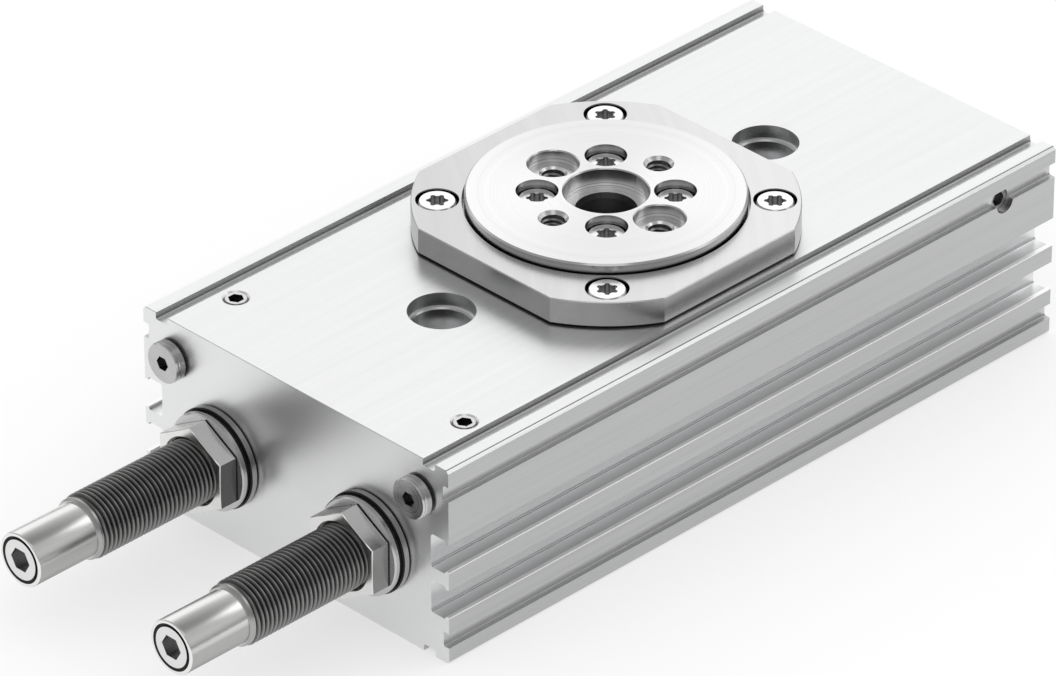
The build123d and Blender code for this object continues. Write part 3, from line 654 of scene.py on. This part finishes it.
def groove_shade(tree):
    """Painted light and shade in the narrow side grooves: slightly paler, with dark lower walls."""
    place = tree.place()
    facing = tree.facing()
    across = tree.size(place[1])
    inside = tree.product(tree.above(across, HOUSING_HIGH.y - GROOVE_DEPTH),
                          tree.below(across, HOUSING_HIGH.y - GROOVE_MARGIN),
                          tree.below(tree.size(facing[0]), ALONG_LIMIT))
    wall = tree.blend(tree.above(facing[2], GROOVE_LOWER_WALL), GROOVE_SHADE, GROOVE_LOWER_WALL_SHADE)
    shade = 1.0
    for height in (HOUSING_LOW.z + GROOVE_INSET, HOUSING_HIGH.z - GROOVE_INSET):
        near = tree.product(tree.close_to(place[2], height, GROOVE_HALF), inside)
        shade = tree.shaded(shade, near, wall)
    return shade


def top_shade(tree):
    """Painted shade on the top: dark walls in its two narrow grooves, and fine dark lines along two edges.
    """
    place = tree.place()
    facing = tree.facing()
    top = HOUSING_HIGH.z
    groove_middle = top - GROOVE_DEPTH / 2 - GROOVE_MARGIN
    in_groove = tree.product(tree.close_to(tree.size(place[1]), HOUSING_HIGH.y - GROOVE_INSET, GROOVE_HALF),
                             tree.close_to(place[2], groove_middle, GROOVE_DEPTH / 2),
                             tree.below(tree.size(facing[0]), ALONG_LIMIT))
    wall = tree.above(tree.size(facing[1]), TOP_GROOVE_WALL)
    wall_shade = tree.spread(place[2], (top - GROOVE_DEPTH, top), TOP_GROOVE_WALL_SHADES)
    shade = tree.blend(in_groove, 1.0, tree.blend(wall, TOP_GROOVE_FLOOR_SHADE, wall_shade))
    on_top = tree.product(tree.above(facing[2], STRAIGHT_UP), tree.above(place[2], top - GROOVE_MARGIN))
    # Painted shade: fine dark lines along the front edge and along the lip
    front = tree.below(place[0], HOUSING_LOW.x + FRONT_LINE)
    lip = tree.close_to(place[1], HOUSING_LOW.y + LIP_LINE_INSET, LIP_LINE_HALF)
    shade = tree.shaded(shade, tree.product(front, on_top), FRONT_LINE_SHADE)
    return tree.shaded(shade, tree.product(lip, on_top), LIP_LINE_SHADE)


def housing_metal():
    """Extruded aluminium: pale brushed top, grey drawn sides and bores, pale even ends, with painted light
    and shade.
    """
    tree = Finish("housing_aluminium")
    facing = tree.facing()
    flat_top = tree.rise(tree.size(facing[2]), HOUSING_FLAT_RANGE)
    flat_end = tree.rise(tree.size(facing[0]), HOUSING_FLAT_RANGE)
    fine = tree.grain(HOUSING_FINE, FINE_DETAIL)
    lines = tree.blend(HOUSING_BROAD_SHARE, fine, tree.grain(HOUSING_BROAD))
    # The lip bevels get the top's pale tone, a painted highlight
    lip_bevel = tree.product(tree.close_to(facing[2], SLANTED, LIP_BEVEL_REACH),
                             tree.above(tree.place()[2], HOUSING_HIGH.z - LIP_BEVEL_DEPTH))
    side_tone = tree.blend(lip_bevel, tree.graded(lines, HOUSING_SIDE_TONES), LIP_BEVEL_TONE)
    # Sides darker than the top and ends: partly the finish, partly painted shade
    tone = tree.blend(flat_top, side_tone, tree.graded(lines, HOUSING_TOP_TONES))
    tone = tree.blend(flat_end, tone, tree.graded(tree.grain(HOUSING_END_CLOUD), HOUSING_END_TONES))
    # Painted light and shade in the slots, the grooves and along the top's edges
    tree.put_tone(tree.product(tone, slot_shade(tree), groove_shade(tree), top_shade(tree)), HOUSING_TINT)
    tree.put("Roughness", tree.blend(flat_end, tree.graded(fine, HOUSING_ROUGHNESS), HOUSING_END_ROUGHNESS))
    tree.bump(tree.blend(flat_end, lines, tree.grain(HOUSING_END_GRAIN)), *HOUSING_RELIEF)
    tree.grain_direction("X", HOUSING_ANISOTROPY)
    return tree.material


# Turned and ground metal

def bore_walls(tree):
    """Painted shade on the walls of the disc's bores: dark near the top, paler below, with fine dark lines.
    """
    depth = tree.minus(FLANGE_TOP, tree.place()[2])
    bores = [(0.0, CENTRING_RADIUS, CENTRING_LINES)]
    bores += [(sign * FLANGE_HOLE_RADIUS, SEAT_RADIUS, SEAT_LINES) for sign in SIDES.values()]
    marked = 0.0
    for y, reach, lines in bores:
        near = tree.close_to(tree.radius_about(x=0.0, y=y), reach, BORE_WALL_REACH)
        for line in lines:
            marked = tree.either(marked, tree.product(near, tree.close_to(depth, line, LINE_HALF)))
    return tree.blend(marked, tree.spread(depth, (0.0, CENTRING_DEPTH), BORE_WALL_TONES), BORE_LINE_TONE)


def turned_metal(name, tones, rough, axis="Z", centre=(0.0, 0.0), relief=TURNED_RELIEF, wall=None,
                 edge=None, socket=None, border=None, sunk=None, rim=None):
    """Lathe-turned metal with rings about an axis of the object.

    The wall is a function that gives the tone of the walls. Bevels outside the edge radius have a tone of
    their own, a painted highlight, and outside the border radius all is black. The socket is a place along
    the axis, a radius and the tone of the painted shade inside it. Sunk says where four recesses with
    painted shade are. Outside the rim's radius the tone goes down to black from the upper of two heights to
    the lower one, a painted shade.
    """
    tree = Finish(name)
    along = "XYZ".index(axis)
    radius = tree.radius_about(**dict(zip("xy" if axis == "Z" else "yz", centre)))
    depth = tree.place()[along]
    fine = tree.rings(radius, depth, (TURNED_FINE, TURNED_FINE), detail=FINE_DETAIL)
    broad = tree.rings(radius, depth, (TURNED_BROAD, TURNED_BROAD), TURNED_BROAD_OFFSET)
    marks = tree.blend(TURNED_BROAD_SHARE, fine, broad)
    tone = tree.graded(marks, tones)
    facing = tree.size(tree.facing()[along])
    flat = tree.rise(facing, FLAT_RANGE)
    if wall is not None:
        tone = tree.blend(flat, wall(tree), tone)
    # Edge bevels: a tone of their own, a painted highlight
    if edge is not None:
        bevel = tree.product(tree.close_to(facing, SLANTED, TURNED_EDGE_REACH), tree.above(radius, edge))
        tone = tree.blend(bevel, tone, TURNED_EDGE_TONE)
    # Socket: painted shade inside it
    if socket is not None:
        start, reach, inner_tone = socket
        inside = tree.product(tree.above(depth, start), tree.below(radius, reach))
        tone = tree.blend(inside, tone, inner_tone)
    if border is not None:
        tone = tree.blend(tree.above(radius, border), tone, BLACK)
    # Four recesses with painted shade
    if sunk is not None:
        tone = tree.blend(tree.near_four(*sunk), tone, PAINTED_GAP_SHADE)
    # Rim: painted shade going down to black
    if rim is not None:
        reach, foot, head = rim
        tone = tree.blend(tree.above(radius, reach), tone, tree.spread(depth, (foot, head), (0.0, tone)))
    tree.put_tone(tone)
    tree.put_roughness(fine, rough, TURNED_ROUGHNESS)
    if relief:
        tree.bump(tree.product(marks, flat), relief, TURNED_DEPTH)
    tree.grain_direction(axis, TURNED_ANISOTROPY, TURNED_QUARTER)
    return tree.material


def ground_metal():
    """Ground steel plate: long shallow arcs of grinding marks on its top, drawn marks on its sides."""
    tree = Finish("ground_plate")
    x, y, z = tree.place()
    facing = tree.facing()
    up = tree.size(facing[2])
    radius = tree.radius_about(x=GRINDING_CENTRE[0], y=GRINDING_CENTRE[1])
    marks = tree.rings(radius, z, GROUND_FINE, detail=FINE_DETAIL)
    both = tree.blend(GROUND_BROAD_SHARE, marks, tree.rings(radius, z, GROUND_BROAD, GROUND_BROAD_OFFSET))
    sideways = tree.minus(x, y)
    # Painted light and shade: the corner facets grade from light to dark across the plate
    corner = tree.above(tree.product(facing[0], facing[1]), GROUND_CORNER_LIMIT)
    side_tone = tree.shaded(tree.graded(both, GROUND_SIDE_TONES), corner,
                            tree.spread(sideways, GROUND_CORNER, GROUND_CORNER_SHADES))
    # Painted light: the top grades from darker to lighter across the plate
    top_tone = tree.product(tree.graded(both, GROUND_TOP_TONES),
                            tree.spread(sideways, GROUND_SWEEP, GROUND_SWEEP_SHADES))
    # Sides darker than the top: partly the finish, partly painted shade
    tone = tree.blend(tree.rise(up, GROUND_FLAT_RANGE), side_tone, top_tone)
    # Painted shade: black contact line along the foot, black about the screw heads, black bore wall by the
    # disc
    contact_shade = tree.below(z, PLATE_LOW.z + PLATE_CONTACT_SHADE)
    gap = tree.near_four(PLATE_SCREW_PLACE, PLATE_GAP_RADIUS, PLATE_HIGH.z - PLATE_GAP_DEPTH)
    bore = tree.product(tree.below(tree.radius_about(x=0.0, y=0.0), FLANGE_RADIUS + PLATE_BORE_MARGIN),
                        tree.below(up, GROUND_FLAT_RANGE[0]))
    tree.put_tone(tree.blend(tree.either(bore, contact_shade, gap), tone, BLACK))
    tree.put("Roughness", tree.graded(marks, GROUND_ROUGHNESS))
    return tree.material


# Screws, nuts, rings and plain metal

def screw_metal(name, node, bright, dark, rough):
    """Bright screw head whose socket and shank, below its top face, are dark with painted shade."""
    tree = Finish(name)
    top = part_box(node)[1].z
    speck = tree.grain(SCREW_GRAIN)
    # Only the top face is pale; all below it, socket and shank, gets the dark tone as painted shade
    head = tree.rise(tree.place()[2], [top + depth for depth in SCREW_FACE_DEPTH])
    face = tree.product(tree.rise(tree.facing()[2], SCREW_FACE), head)
    shade = tree.graded(speck, [dark * share for share in SCREW_DARK_SHARES])
    pale = tree.graded(speck, [bright * share for share in SCREW_BRIGHT_SHARES])
    tree.put_tone(tree.blend(face, shade, pale))
    tree.put_roughness(speck, rough, SCREW_ROUGHNESS)
    tree.bump(speck, *SCREW_RELIEF)
    return tree.material


def plain_metal(name, tones, rough, tint=NO_TINT):
    """Tumbled or plated metal with a fine even texture."""
    tree = Finish(name)
    speck = tree.grain(PLAIN_GRAIN, FINE_DETAIL)
    both = tree.blend(PLAIN_CLOUD_SHARE, speck, tree.grain(PLAIN_CLOUD))
    tree.put_tone(tree.graded(both, tones), tint)
    tree.put_roughness(speck, rough, PLAIN_ROUGHNESS)
    tree.bump(speck, *PLAIN_RELIEF)
    return tree.material


def nut_metal(side):
    """Bright nut whose upright side flats are darker than its faces, a painted shade that differs by side.
    """
    tree = Finish("nut_steel_" + side)
    cloud = tree.grain(SMALL_CLOUD)
    sideways = tree.rise(tree.size(tree.facing()[1]), NUT_SIDE_RANGE)
    tone = tree.blend(sideways, tree.graded(cloud, NUT_TONES), NUT_SIDE_TONES[side])
    # Painted shade: a black line at the back, where the nut meets the washer
    contact_shade = tree.above(tree.place()[0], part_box("lock_nut_left")[1].x - NUT_CONTACT_SHADE)
    tree.put_tone(tree.blend(contact_shade, tone, BLACK), SOFT_METAL_TINT)
    tree.put("Roughness", tree.graded(cloud, NUT_ROUGHNESS))
    return tree.material


def ring_metal(name, tones, front_dark=0.0, back_dark=0.0):
    """Plain ring on an absorber, with painted shade in bands of a given width at its front and back edges.
    """
    tree = Finish(name)
    along = tree.place()[0]
    front, back = (corner.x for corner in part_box(name + "_left"))
    cloud = tree.grain(SMALL_CLOUD)
    dark = tree.either(tree.below(along, front + front_dark), tree.above(along, back - back_dark))
    tree.put_tone(tree.blend(dark, tree.graded(cloud, tones), BLACK))
    tree.put("Roughness", tree.graded(cloud, RING_ROUGHNESS))
    return tree.material


def sleeve_metal():
    """Absorber sleeve: dark thread with painted crest highlights, pale collar, polished end with painted
    shade below.
    """
    tree = Finish("sleeve_steel")
    x, y, z = tree.place()
    radius = tree.distance(tree.minus(tree.size(y), BORE_OFFSET), tree.minus(z, BORE_HEIGHT))
    # Paler crests and darker valleys: painted highlight and shade on the thread
    crest = tree.spread(radius, SLEEVE_CREST_RANGE, (0.0, 1.0), smooth=True)
    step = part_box("absorber_sleeve_left")[0].x + SLEEVE_SMOOTH_LENGTH
    threaded = tree.rise(x, (step - SLEEVE_STEP_MARGIN, step + SLEEVE_STEP_MARGIN))
    thread_tone = tree.blend(crest, SLEEVE_VALLEY_TONE, SLEEVE_CREST_TONE)
    thread_tone = tree.blend(tree.below(x, step + SLEEVE_COLLAR_BAND), thread_tone, SLEEVE_COLLAR_TONE)
    along, outwards = SLEEVE_SCRATCHES
    scratched = tree.vector(tree.product(x, along), tree.product(radius, outwards), 0.0)
    scratch = tree.noise(scratched, FINE_DETAIL)
    facing = tree.facing()
    smooth_tone = tree.graded(scratch, SLEEVE_SMOOTH_TONES)
    # Painted highlight in a band round the smooth end, painted shade on its lower side and underneath
    from_band = tree.size(tree.minus(facing[2], SLEEVE_BAND))
    round_tone = tree.product(smooth_tone, tree.spread(from_band, SLEEVE_BAND_REACH, SLEEVE_BAND_SHADES),
                              tree.spread(facing[2], SLEEVE_LOWER_RANGE, SLEEVE_LOWER_SHADES),
                              tree.spread(facing[2], SLEEVE_UNDER_RANGE, SLEEVE_UNDER_SHADES))
    smooth_tone = tree.blend(tree.below(tree.size(facing[0]), ALONG_LIMIT), smooth_tone, round_tone)
    tree.put_tone(tree.blend(threaded, smooth_tone, thread_tone), SOFT_METAL_TINT)
    tree.put("Roughness", tree.blend(threaded, tree.graded(scratch, SLEEVE_SMOOTH_ROUGHNESS),
                                     SLEEVE_THREAD_ROUGHNESS))
    return tree.material


def rubber():
    """Black rubber of the seals."""
    tree = Finish("black_rubber", metallic=0.0)
    tree.put("Specular IOR Level", RUBBER_SPECULAR)
    speck = tree.grain(RUBBER_GRAIN)
    tree.put_tone(tree.graded(speck, [RUBBER_TONE * share for share in RUBBER_SPREAD]))
    tree.put("Roughness", tree.graded(speck, RUBBER_ROUGHNESS))
    tree.bump(speck, *RUBBER_RELIEF)
    return tree.material


def plastic(name, colour, rough):
    """Plain plastic with a slight texture."""
    tree = Finish(name, metallic=0.0)
    speck = tree.grain(PLASTIC_GRAIN)
    tree.put_tone(tree.graded(speck, PLASTIC_TONES), colour)
    tree.put_roughness(speck, rough, PLASTIC_ROUGHNESS)
    return tree.material


# Finish of each node

def dress(material, *names):
    """Give CAD nodes a material."""
    for name in names:
        node = frame["nodes"][name]
        node.data.materials.clear()
        node.data.materials.append(material)


def both_sides(*stems):
    return [stem + "_" + side for stem in stems for side in SIDES]


def dress_body():
    dress(housing_metal(), "housing")
    dress(ground_metal(), "bearing_plate")
    dress(screw_metal("plate_screw_steel", "plate_screws", bright=0.95, dark=0.56, rough=0.22),
          "plate_screws")
    dress(screw_metal("top_set_screw_steel", "top_set_screws", bright=0.72, dark=0.22, rough=0.26),
          "top_set_screws")
    dress(plain_metal("set_screw_steel", tones=(0.30, 0.42), rough=0.3), "side_set_screws")


def dress_flange():
    screws_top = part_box("flange_screws")[1].z
    # Painted shade in the recesses about the flange screws
    gaps = (FLANGE_SCREW_PLACE, FLANGE_GAP_RADIUS, screws_top - FLANGE_GAP_DEPTH)
    # Painted shade on the disc's rim, down to where it meets the plate
    rim = (FLANGE_RADIUS - DISC_RIM_INSET, PLATE_HIGH.z + DISC_RIM_FOOT, PLATE_HIGH.z + DISC_RIM_HEAD)
    dress(turned_metal("turned_disc", tones=(0.81, 0.89), rough=0.23, relief=DISC_RELIEF, wall=bore_walls,
                       sunk=gaps, rim=rim), "output_flange")
    dress(turned_metal("turned_shaft", tones=(0.30, 0.36), rough=0.3), "pinion_shaft")
    dress(screw_metal("flange_screw_steel", "flange_screws", bright=0.95, dark=0.56, rough=0.22),
          "flange_screws")


def dress_inside():
    bearing_parts = ["{}_bearing_{}".format(level, part)
                     for level in ("upper", "lower") for part in ("outer_ring", "inner_ring", "balls")]
    dress(plain_metal("bearing_steel", tones=(0.62, 0.70), rough=0.18), *bearing_parts)
    dress(plain_metal("cage_brass", tones=(0.7, 0.8), rough=0.35, tint=(0.95, 0.78, 0.45)),
          "upper_bearing_cage", "lower_bearing_cage")
    dress(plain_metal("inner_steel", tones=(0.42, 0.52), rough=0.3),
          *both_sides("piston_rack", "absorber_cartridge", "absorber_plunger"))
    dress(plain_metal("spring_steel", tones=(0.12, 0.18), rough=0.35, tint=(1.0, 0.97, 0.92)),
          *both_sides("circlip"))
    dress(rubber(), "dust_seal",
          *both_sides("sealing_ring", "plug_ring", "cover_ring", "piston_seals", "end_ring"))
    dress(plastic("guide_plastic", colour=(0.32, 0.29, 0.25), rough=0.5), *both_sides("guide_rings"))
    dress(plastic("magnet_black", colour=(0.05, 0.05, 0.055), rough=0.6), *both_sides("magnet_ring"))


def dress_ends():
    """Rings and plugs at both ends, where each plug has its rings about its own axis."""
    dress(ring_metal("washer", tones=(0.54, 0.58)), *both_sides("washer"))
    dress(ring_metal("seat_ring", tones=(0.36, 0.40), front_dark=SEAT_RING_FRONT_DARK,
                     back_dark=SEAT_RING_BACK_DARK), *both_sides("seat_ring"))
    for side, sign in SIDES.items():
        absorber_centre = (sign * BORE_OFFSET, BORE_HEIGHT)
        port_centre = (sign * PORT_OFFSET, PORT_HEIGHT)
        low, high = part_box("end_plug_" + side)
        # Painted shade inside the end plug's socket
        socket = (low.x + SOCKET_MARGIN, END_SOCKET_REACH, END_SOCKET_TONE)
        border = (high.y - low.y) / 2 - END_PLUG_BORDER
        dress(turned_metal("end_plug_metal_" + side, tones=(0.72, 0.78), rough=0.24, axis="X",
                           centre=absorber_centre, relief=0.0, socket=socket, border=border),
              "end_plug_" + side)
        # Painted shade inside the port plug's socket, and a painted highlight on its edge bevel
        socket = (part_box("port_plug_" + side)[0].x + SOCKET_MARGIN, PORT_SOCKET_REACH, PORT_SOCKET_TONE)
        dress(turned_metal("port_plug_metal_" + side, tones=(0.50, 0.53), rough=0.28, axis="X",
                           centre=port_centre, relief=0.0, socket=socket, edge=PORT_EDGE),
              "port_plug_" + side)
        dress(turned_metal("rear_cover_metal_" + side, tones=(0.62, 0.68), rough=0.3, axis="X",
                           centre=absorber_centre), "rear_cover_" + side)


# Absorber sleeves with a wound thread

def absorber_sleeve(side, material):
    """Sleeve with a smooth end and a collar, and a ridge wound on its core."""
    low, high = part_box("absorber_sleeve_" + side)
    length = high.x - low.x
    centre = Vector((low.x, SIDES[side] * BORE_OFFSET, BORE_HEIGHT))
    along = Vector((1, 0, 0))
    start = Vector((0, 1, 0))
    step = SLEEVE_SMOOTH_LENGTH
    bevel = SLEEVE_END_BEVEL
    first = step + 2 * SLEEVE_COLLAR
    collar_radius = SLEEVE_ROOT + SLEEVE_COLLAR_RISE
    core = [(0.0, SLEEVE_BORE), (0.0, SLEEVE_SMOOTH - bevel),
            (SLEEVE_BEVEL_ALONG, SLEEVE_SMOOTH - SLEEVE_BEVEL_DROP), (bevel, SLEEVE_SMOOTH),
            (step, SLEEVE_SMOOTH), (step, SLEEVE_ROOT - SLEEVE_COLLAR_FOOT),
            (step + SLEEVE_COLLAR, collar_radius), (first, collar_radius),
            (first + SLEEVE_COLLAR_SLOPE, SLEEVE_ROOT), (length - SLEEVE_COLLAR, SLEEVE_ROOT),
            (length, SLEEVE_ROOT - SLEEVE_TAIL_BEVEL), (length, SLEEVE_BORE)]
    root = SLEEVE_ROOT - EMBED
    shoulder = SLEEVE_CREST - SLEEVE_CREST_DROP
    ridge = [(-SLEEVE_RIDGE_HALF, root), (-SLEEVE_CREST_HALF, shoulder), (0.0, SLEEVE_CREST),
             (SLEEVE_CREST_HALF, shoulder), (SLEEVE_RIDGE_HALF, root)]
    turns = math.floor((length - first - SLEEVE_RUNOUT) / SLEEVE_PITCH)
    thread_start = centre + along * (first + SLEEVE_RIDGE_LEAD)
    thread = helical_ridge(ridge, thread_start, along, start, SLEEVE_PITCH, turns, SLEEVE_RIDGE_SEGMENTS,
                           SLEEVE_RIDGE_FADE)
    points, faces = joined(lathe(core, centre, along, start, SLEEVE_SEGMENTS), thread)
    piece = mesh_object("threaded_sleeve_" + side, points, faces)
    piece.data.materials.append(material)
    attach(piece, "absorber_" + side)
    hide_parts("absorber_sleeve_" + side)


# Lock nuts, sharp at the back and bevelled at the front

def lock_nut(side, material):
    """Hexagon nut whose front corners are cut back along a slope."""
    low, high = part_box("lock_nut_" + side)
    centre = Vector((low.x, SIDES[side] * BORE_OFFSET, BORE_HEIGHT))
    length = high.x - low.x
    slope = math.tan(math.radians(NUT_CORNER_SLOPE))
    rows = NUT_CORNERS * NUT_STEPS
    flat_angle = 360.0 / NUT_CORNERS
    points = []
    for row in range(rows):
        angle = math.radians(360.0 * row / rows)
        from_flat = math.radians(flat_angle * (row % NUT_STEPS) / NUT_STEPS - flat_angle / 2)
        radius = NUT_FLAT / math.cos(from_flat)
        front = NUT_FRONT_BEVEL + (radius - NUT_FLAT) * slope
        outline = [(0.0, NUT_HOLE + NUT_HOLE_BEVEL), (0.0, radius - NUT_EDGE_BEVEL), (front, radius),
                   (length, radius), (length, NUT_HOLE), (NUT_HOLE_BEVEL, NUT_HOLE)]
        spoke = Vector((0.0, math.sin(angle), math.cos(angle)))
        points += [centre + Vector((along, 0.0, 0.0)) + spoke * reach for along, reach in outline]
    faces = rows_of_faces(rows, len(outline), True)
    piece = mesh_object("hexagon_nut_" + side, points, faces, NUT_SMOOTH_ANGLE)
    piece.data.materials.append(material)
    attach(piece, "body")
    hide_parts("lock_nut_" + side)


# Turns of thread in the tapped holes

def tapped_turns(name, mouth, inward, length, body, material):
    """Thread ridge in a tapped hole, wound from just inside its mouth."""
    start = Vector((0, 0, 1)) if inward.x else Vector((1, 0, 0))
    tip = TAPPED_RADIUS - TAPPED_HEIGHT
    ridge = [(-TAPPED_RIDGE_HALF, TAPPED_RADIUS + EMBED), (-TAPPED_TIP_HALF, tip), (TAPPED_TIP_HALF, tip),
             (TAPPED_RIDGE_HALF, TAPPED_RADIUS + EMBED)]
    turns = math.floor(length / TAPPED_PITCH)
    first = mouth + inward * TAPPED_RIDGE_HALF
    points, faces = helical_ridge(ridge, first, inward, start, TAPPED_PITCH, turns, TAPPED_SEGMENTS,
                                  TAPPED_FADE)
    piece = mesh_object(name, points, faces)
    piece.data.materials.append(material)
    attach(piece, body)


def all_tapped_turns():
    """Thread turns in the disc's holes, every second of which starts below a seat, and in both ports."""
    # The thread turns get a dark tone: painted shade inside the holes
    dark = plain_metal("tapped_thread_shade", tones=(0.18, 0.24), rough=0.3)
    for index in range(FLANGE_HOLES):
        angle = math.radians(360.0 * index / FLANGE_HOLES)
        x = FLANGE_HOLE_RADIUS * math.cos(angle)
        y = FLANGE_HOLE_RADIUS * math.sin(angle)
        top = FLANGE_TOP - (TAPPED_BEVEL if index % 2 == 0 else SLEEVE_SEAT_DEPTH + TAPPED_BELOW_SEAT)
        tapped_turns("flange_thread_turns_{}".format(index), Vector((x, y, top)), Vector((0, 0, -1)),
                     top - FLANGE_BOTTOM, "output", dark)
    for side, sign in SIDES.items():
        mouth = Vector((HOUSING_HIGH.x - PORT_BEVEL, sign * PORT_OFFSET, PORT_HEIGHT))
        tapped_turns("port_thread_turns_" + side, mouth, Vector((-1, 0, 0)), PORT_THREAD_LENGTH, "body",
                     dark)


# Floor, light and camera

def make_floor():
    """Floor that keeps the shadow, mixed with plain white where it is seen."""
    half = FLOOR_SIZE / 2
    corners = [(-half, -half, 0), (half, -half, 0), (half, half, 0), (-half, half, 0)]
    mesh = bpy.data.meshes.new("floor")
    mesh.from_pydata(corners, [], [(0, 1, 2, 3)])
    floor = bpy.data.objects.new("floor", mesh)
    bpy.context.scene.collection.objects.link(floor)
    tree = Finish("floor_white", metallic=0.0)
    tree.put("Base Color", grey(FLOOR_ALBEDO))
    tree.put("Roughness", FLOOR_ROUGHNESS)
    tree.put("Specular IOR Level", FLOOR_SPECULAR)
    rays = tree.rays()
    seen = tree.either(rays["Is Camera Ray"], rays["Is Glossy Ray"], rays["Is Transmission Ray"])
    mix = tree.nodes.new("ShaderNodeMixShader")
    tree.feed(mix.inputs[0], tree.product(seen, FLOOR_WHITE_SHARE))
    tree.feed(mix.inputs[1], tree.shader.outputs[0])
    tree.feed(mix.inputs[2], tree.nodes.new("ShaderNodeEmission").outputs[0])
    tree.feed(tree.nodes["Material Output"].inputs["Surface"], mix.outputs[0])
    floor.data.materials.append(tree.material)


def make_world():
    """Studio sky: bright behind the object at middle height, dim elsewhere, and even for soft shadows."""
    world = bpy.data.worlds.new("studio")
    bpy.context.scene.world = world
    sky = Nodes(world)
    background = sky.nodes["Background"]
    background.inputs["Color"].default_value = grey(1.0)
    direction = sky.coordinate("Generated")
    band = sky.spread(sky.split(direction)[2], SKY_BAND_RISE, (SKY_HORIZON, SKY_BAND), smooth=True)
    cap = sky.spread(sky.towards(direction, SKY_CAP), SKY_CAP_REACH, (1.0, SKY_CAP_SHARE), smooth=True)
    behind = sky.towards(direction, SKY_BEHIND)
    around = sky.spread(behind, SKY_BEHIND_REACH, (SKY_AROUND_SHARE, 1.0), smooth=True)
    strength = sky.blend(sky.rays()["Is Diffuse Ray"], sky.product(band, cap, around), SKY_FOR_FLOOR)
    sky.feed(background.inputs["Strength"], strength)


def make_lights():
    for name, softbox in SOFTBOXES.items():
        light = bpy.data.lights.new(name, "AREA")
        light.shape = "RECTANGLE"
        light.size, light.size_y = softbox["size"]
        light.energy = softbox["power"]
        lamp = bpy.data.objects.new(name, light)
        bpy.context.scene.collection.objects.link(lamp)
        lamp.location = softbox["place"]
        lamp.rotation_euler = (-softbox["place"]).to_track_quat("-Z", "Y").to_euler()


def make_camera():
    azimuth = math.radians(CAMERA_AZIMUTH)
    elevation = math.radians(CAMERA_ELEVATION)
    right = Vector((math.cos(azimuth), math.sin(azimuth), 0))
    back = Vector((math.sin(azimuth) * math.cos(elevation), -math.cos(azimuth) * math.cos(elevation),
                   math.sin(elevation)))
    up = back.cross(right)
    data = bpy.data.cameras.new("photo_camera")
    data.lens = CAMERA_LENS
    data.sensor_width = CAMERA_SENSOR
    data.sensor_fit = "HORIZONTAL"
    data.clip_start, data.clip_end = CAMERA_CLIP
    camera = bpy.data.objects.new("photo_camera", data)
    bpy.context.scene.collection.objects.link(camera)
    camera.rotation_euler = Matrix((right, up, back)).transposed().to_euler()
    camera.location = right * CAMERA_RIGHT_SHIFT + up * CAMERA_UP_SHIFT + back * CAMERA_DISTANCE
    bpy.context.scene.camera = camera


make_camera()
make_floor()
make_world()
make_lights()
dress_body()
dress_flange()
dress_inside()
dress_ends()
sleeve_finish = sleeve_metal()
for absorber_side in SIDES:
    absorber_sleeve(absorber_side, sleeve_finish)
    lock_nut(absorber_side, nut_metal(absorber_side))
all_tapped_turns()
bpy.context.scene.view_settings.view_transform = "Standard"
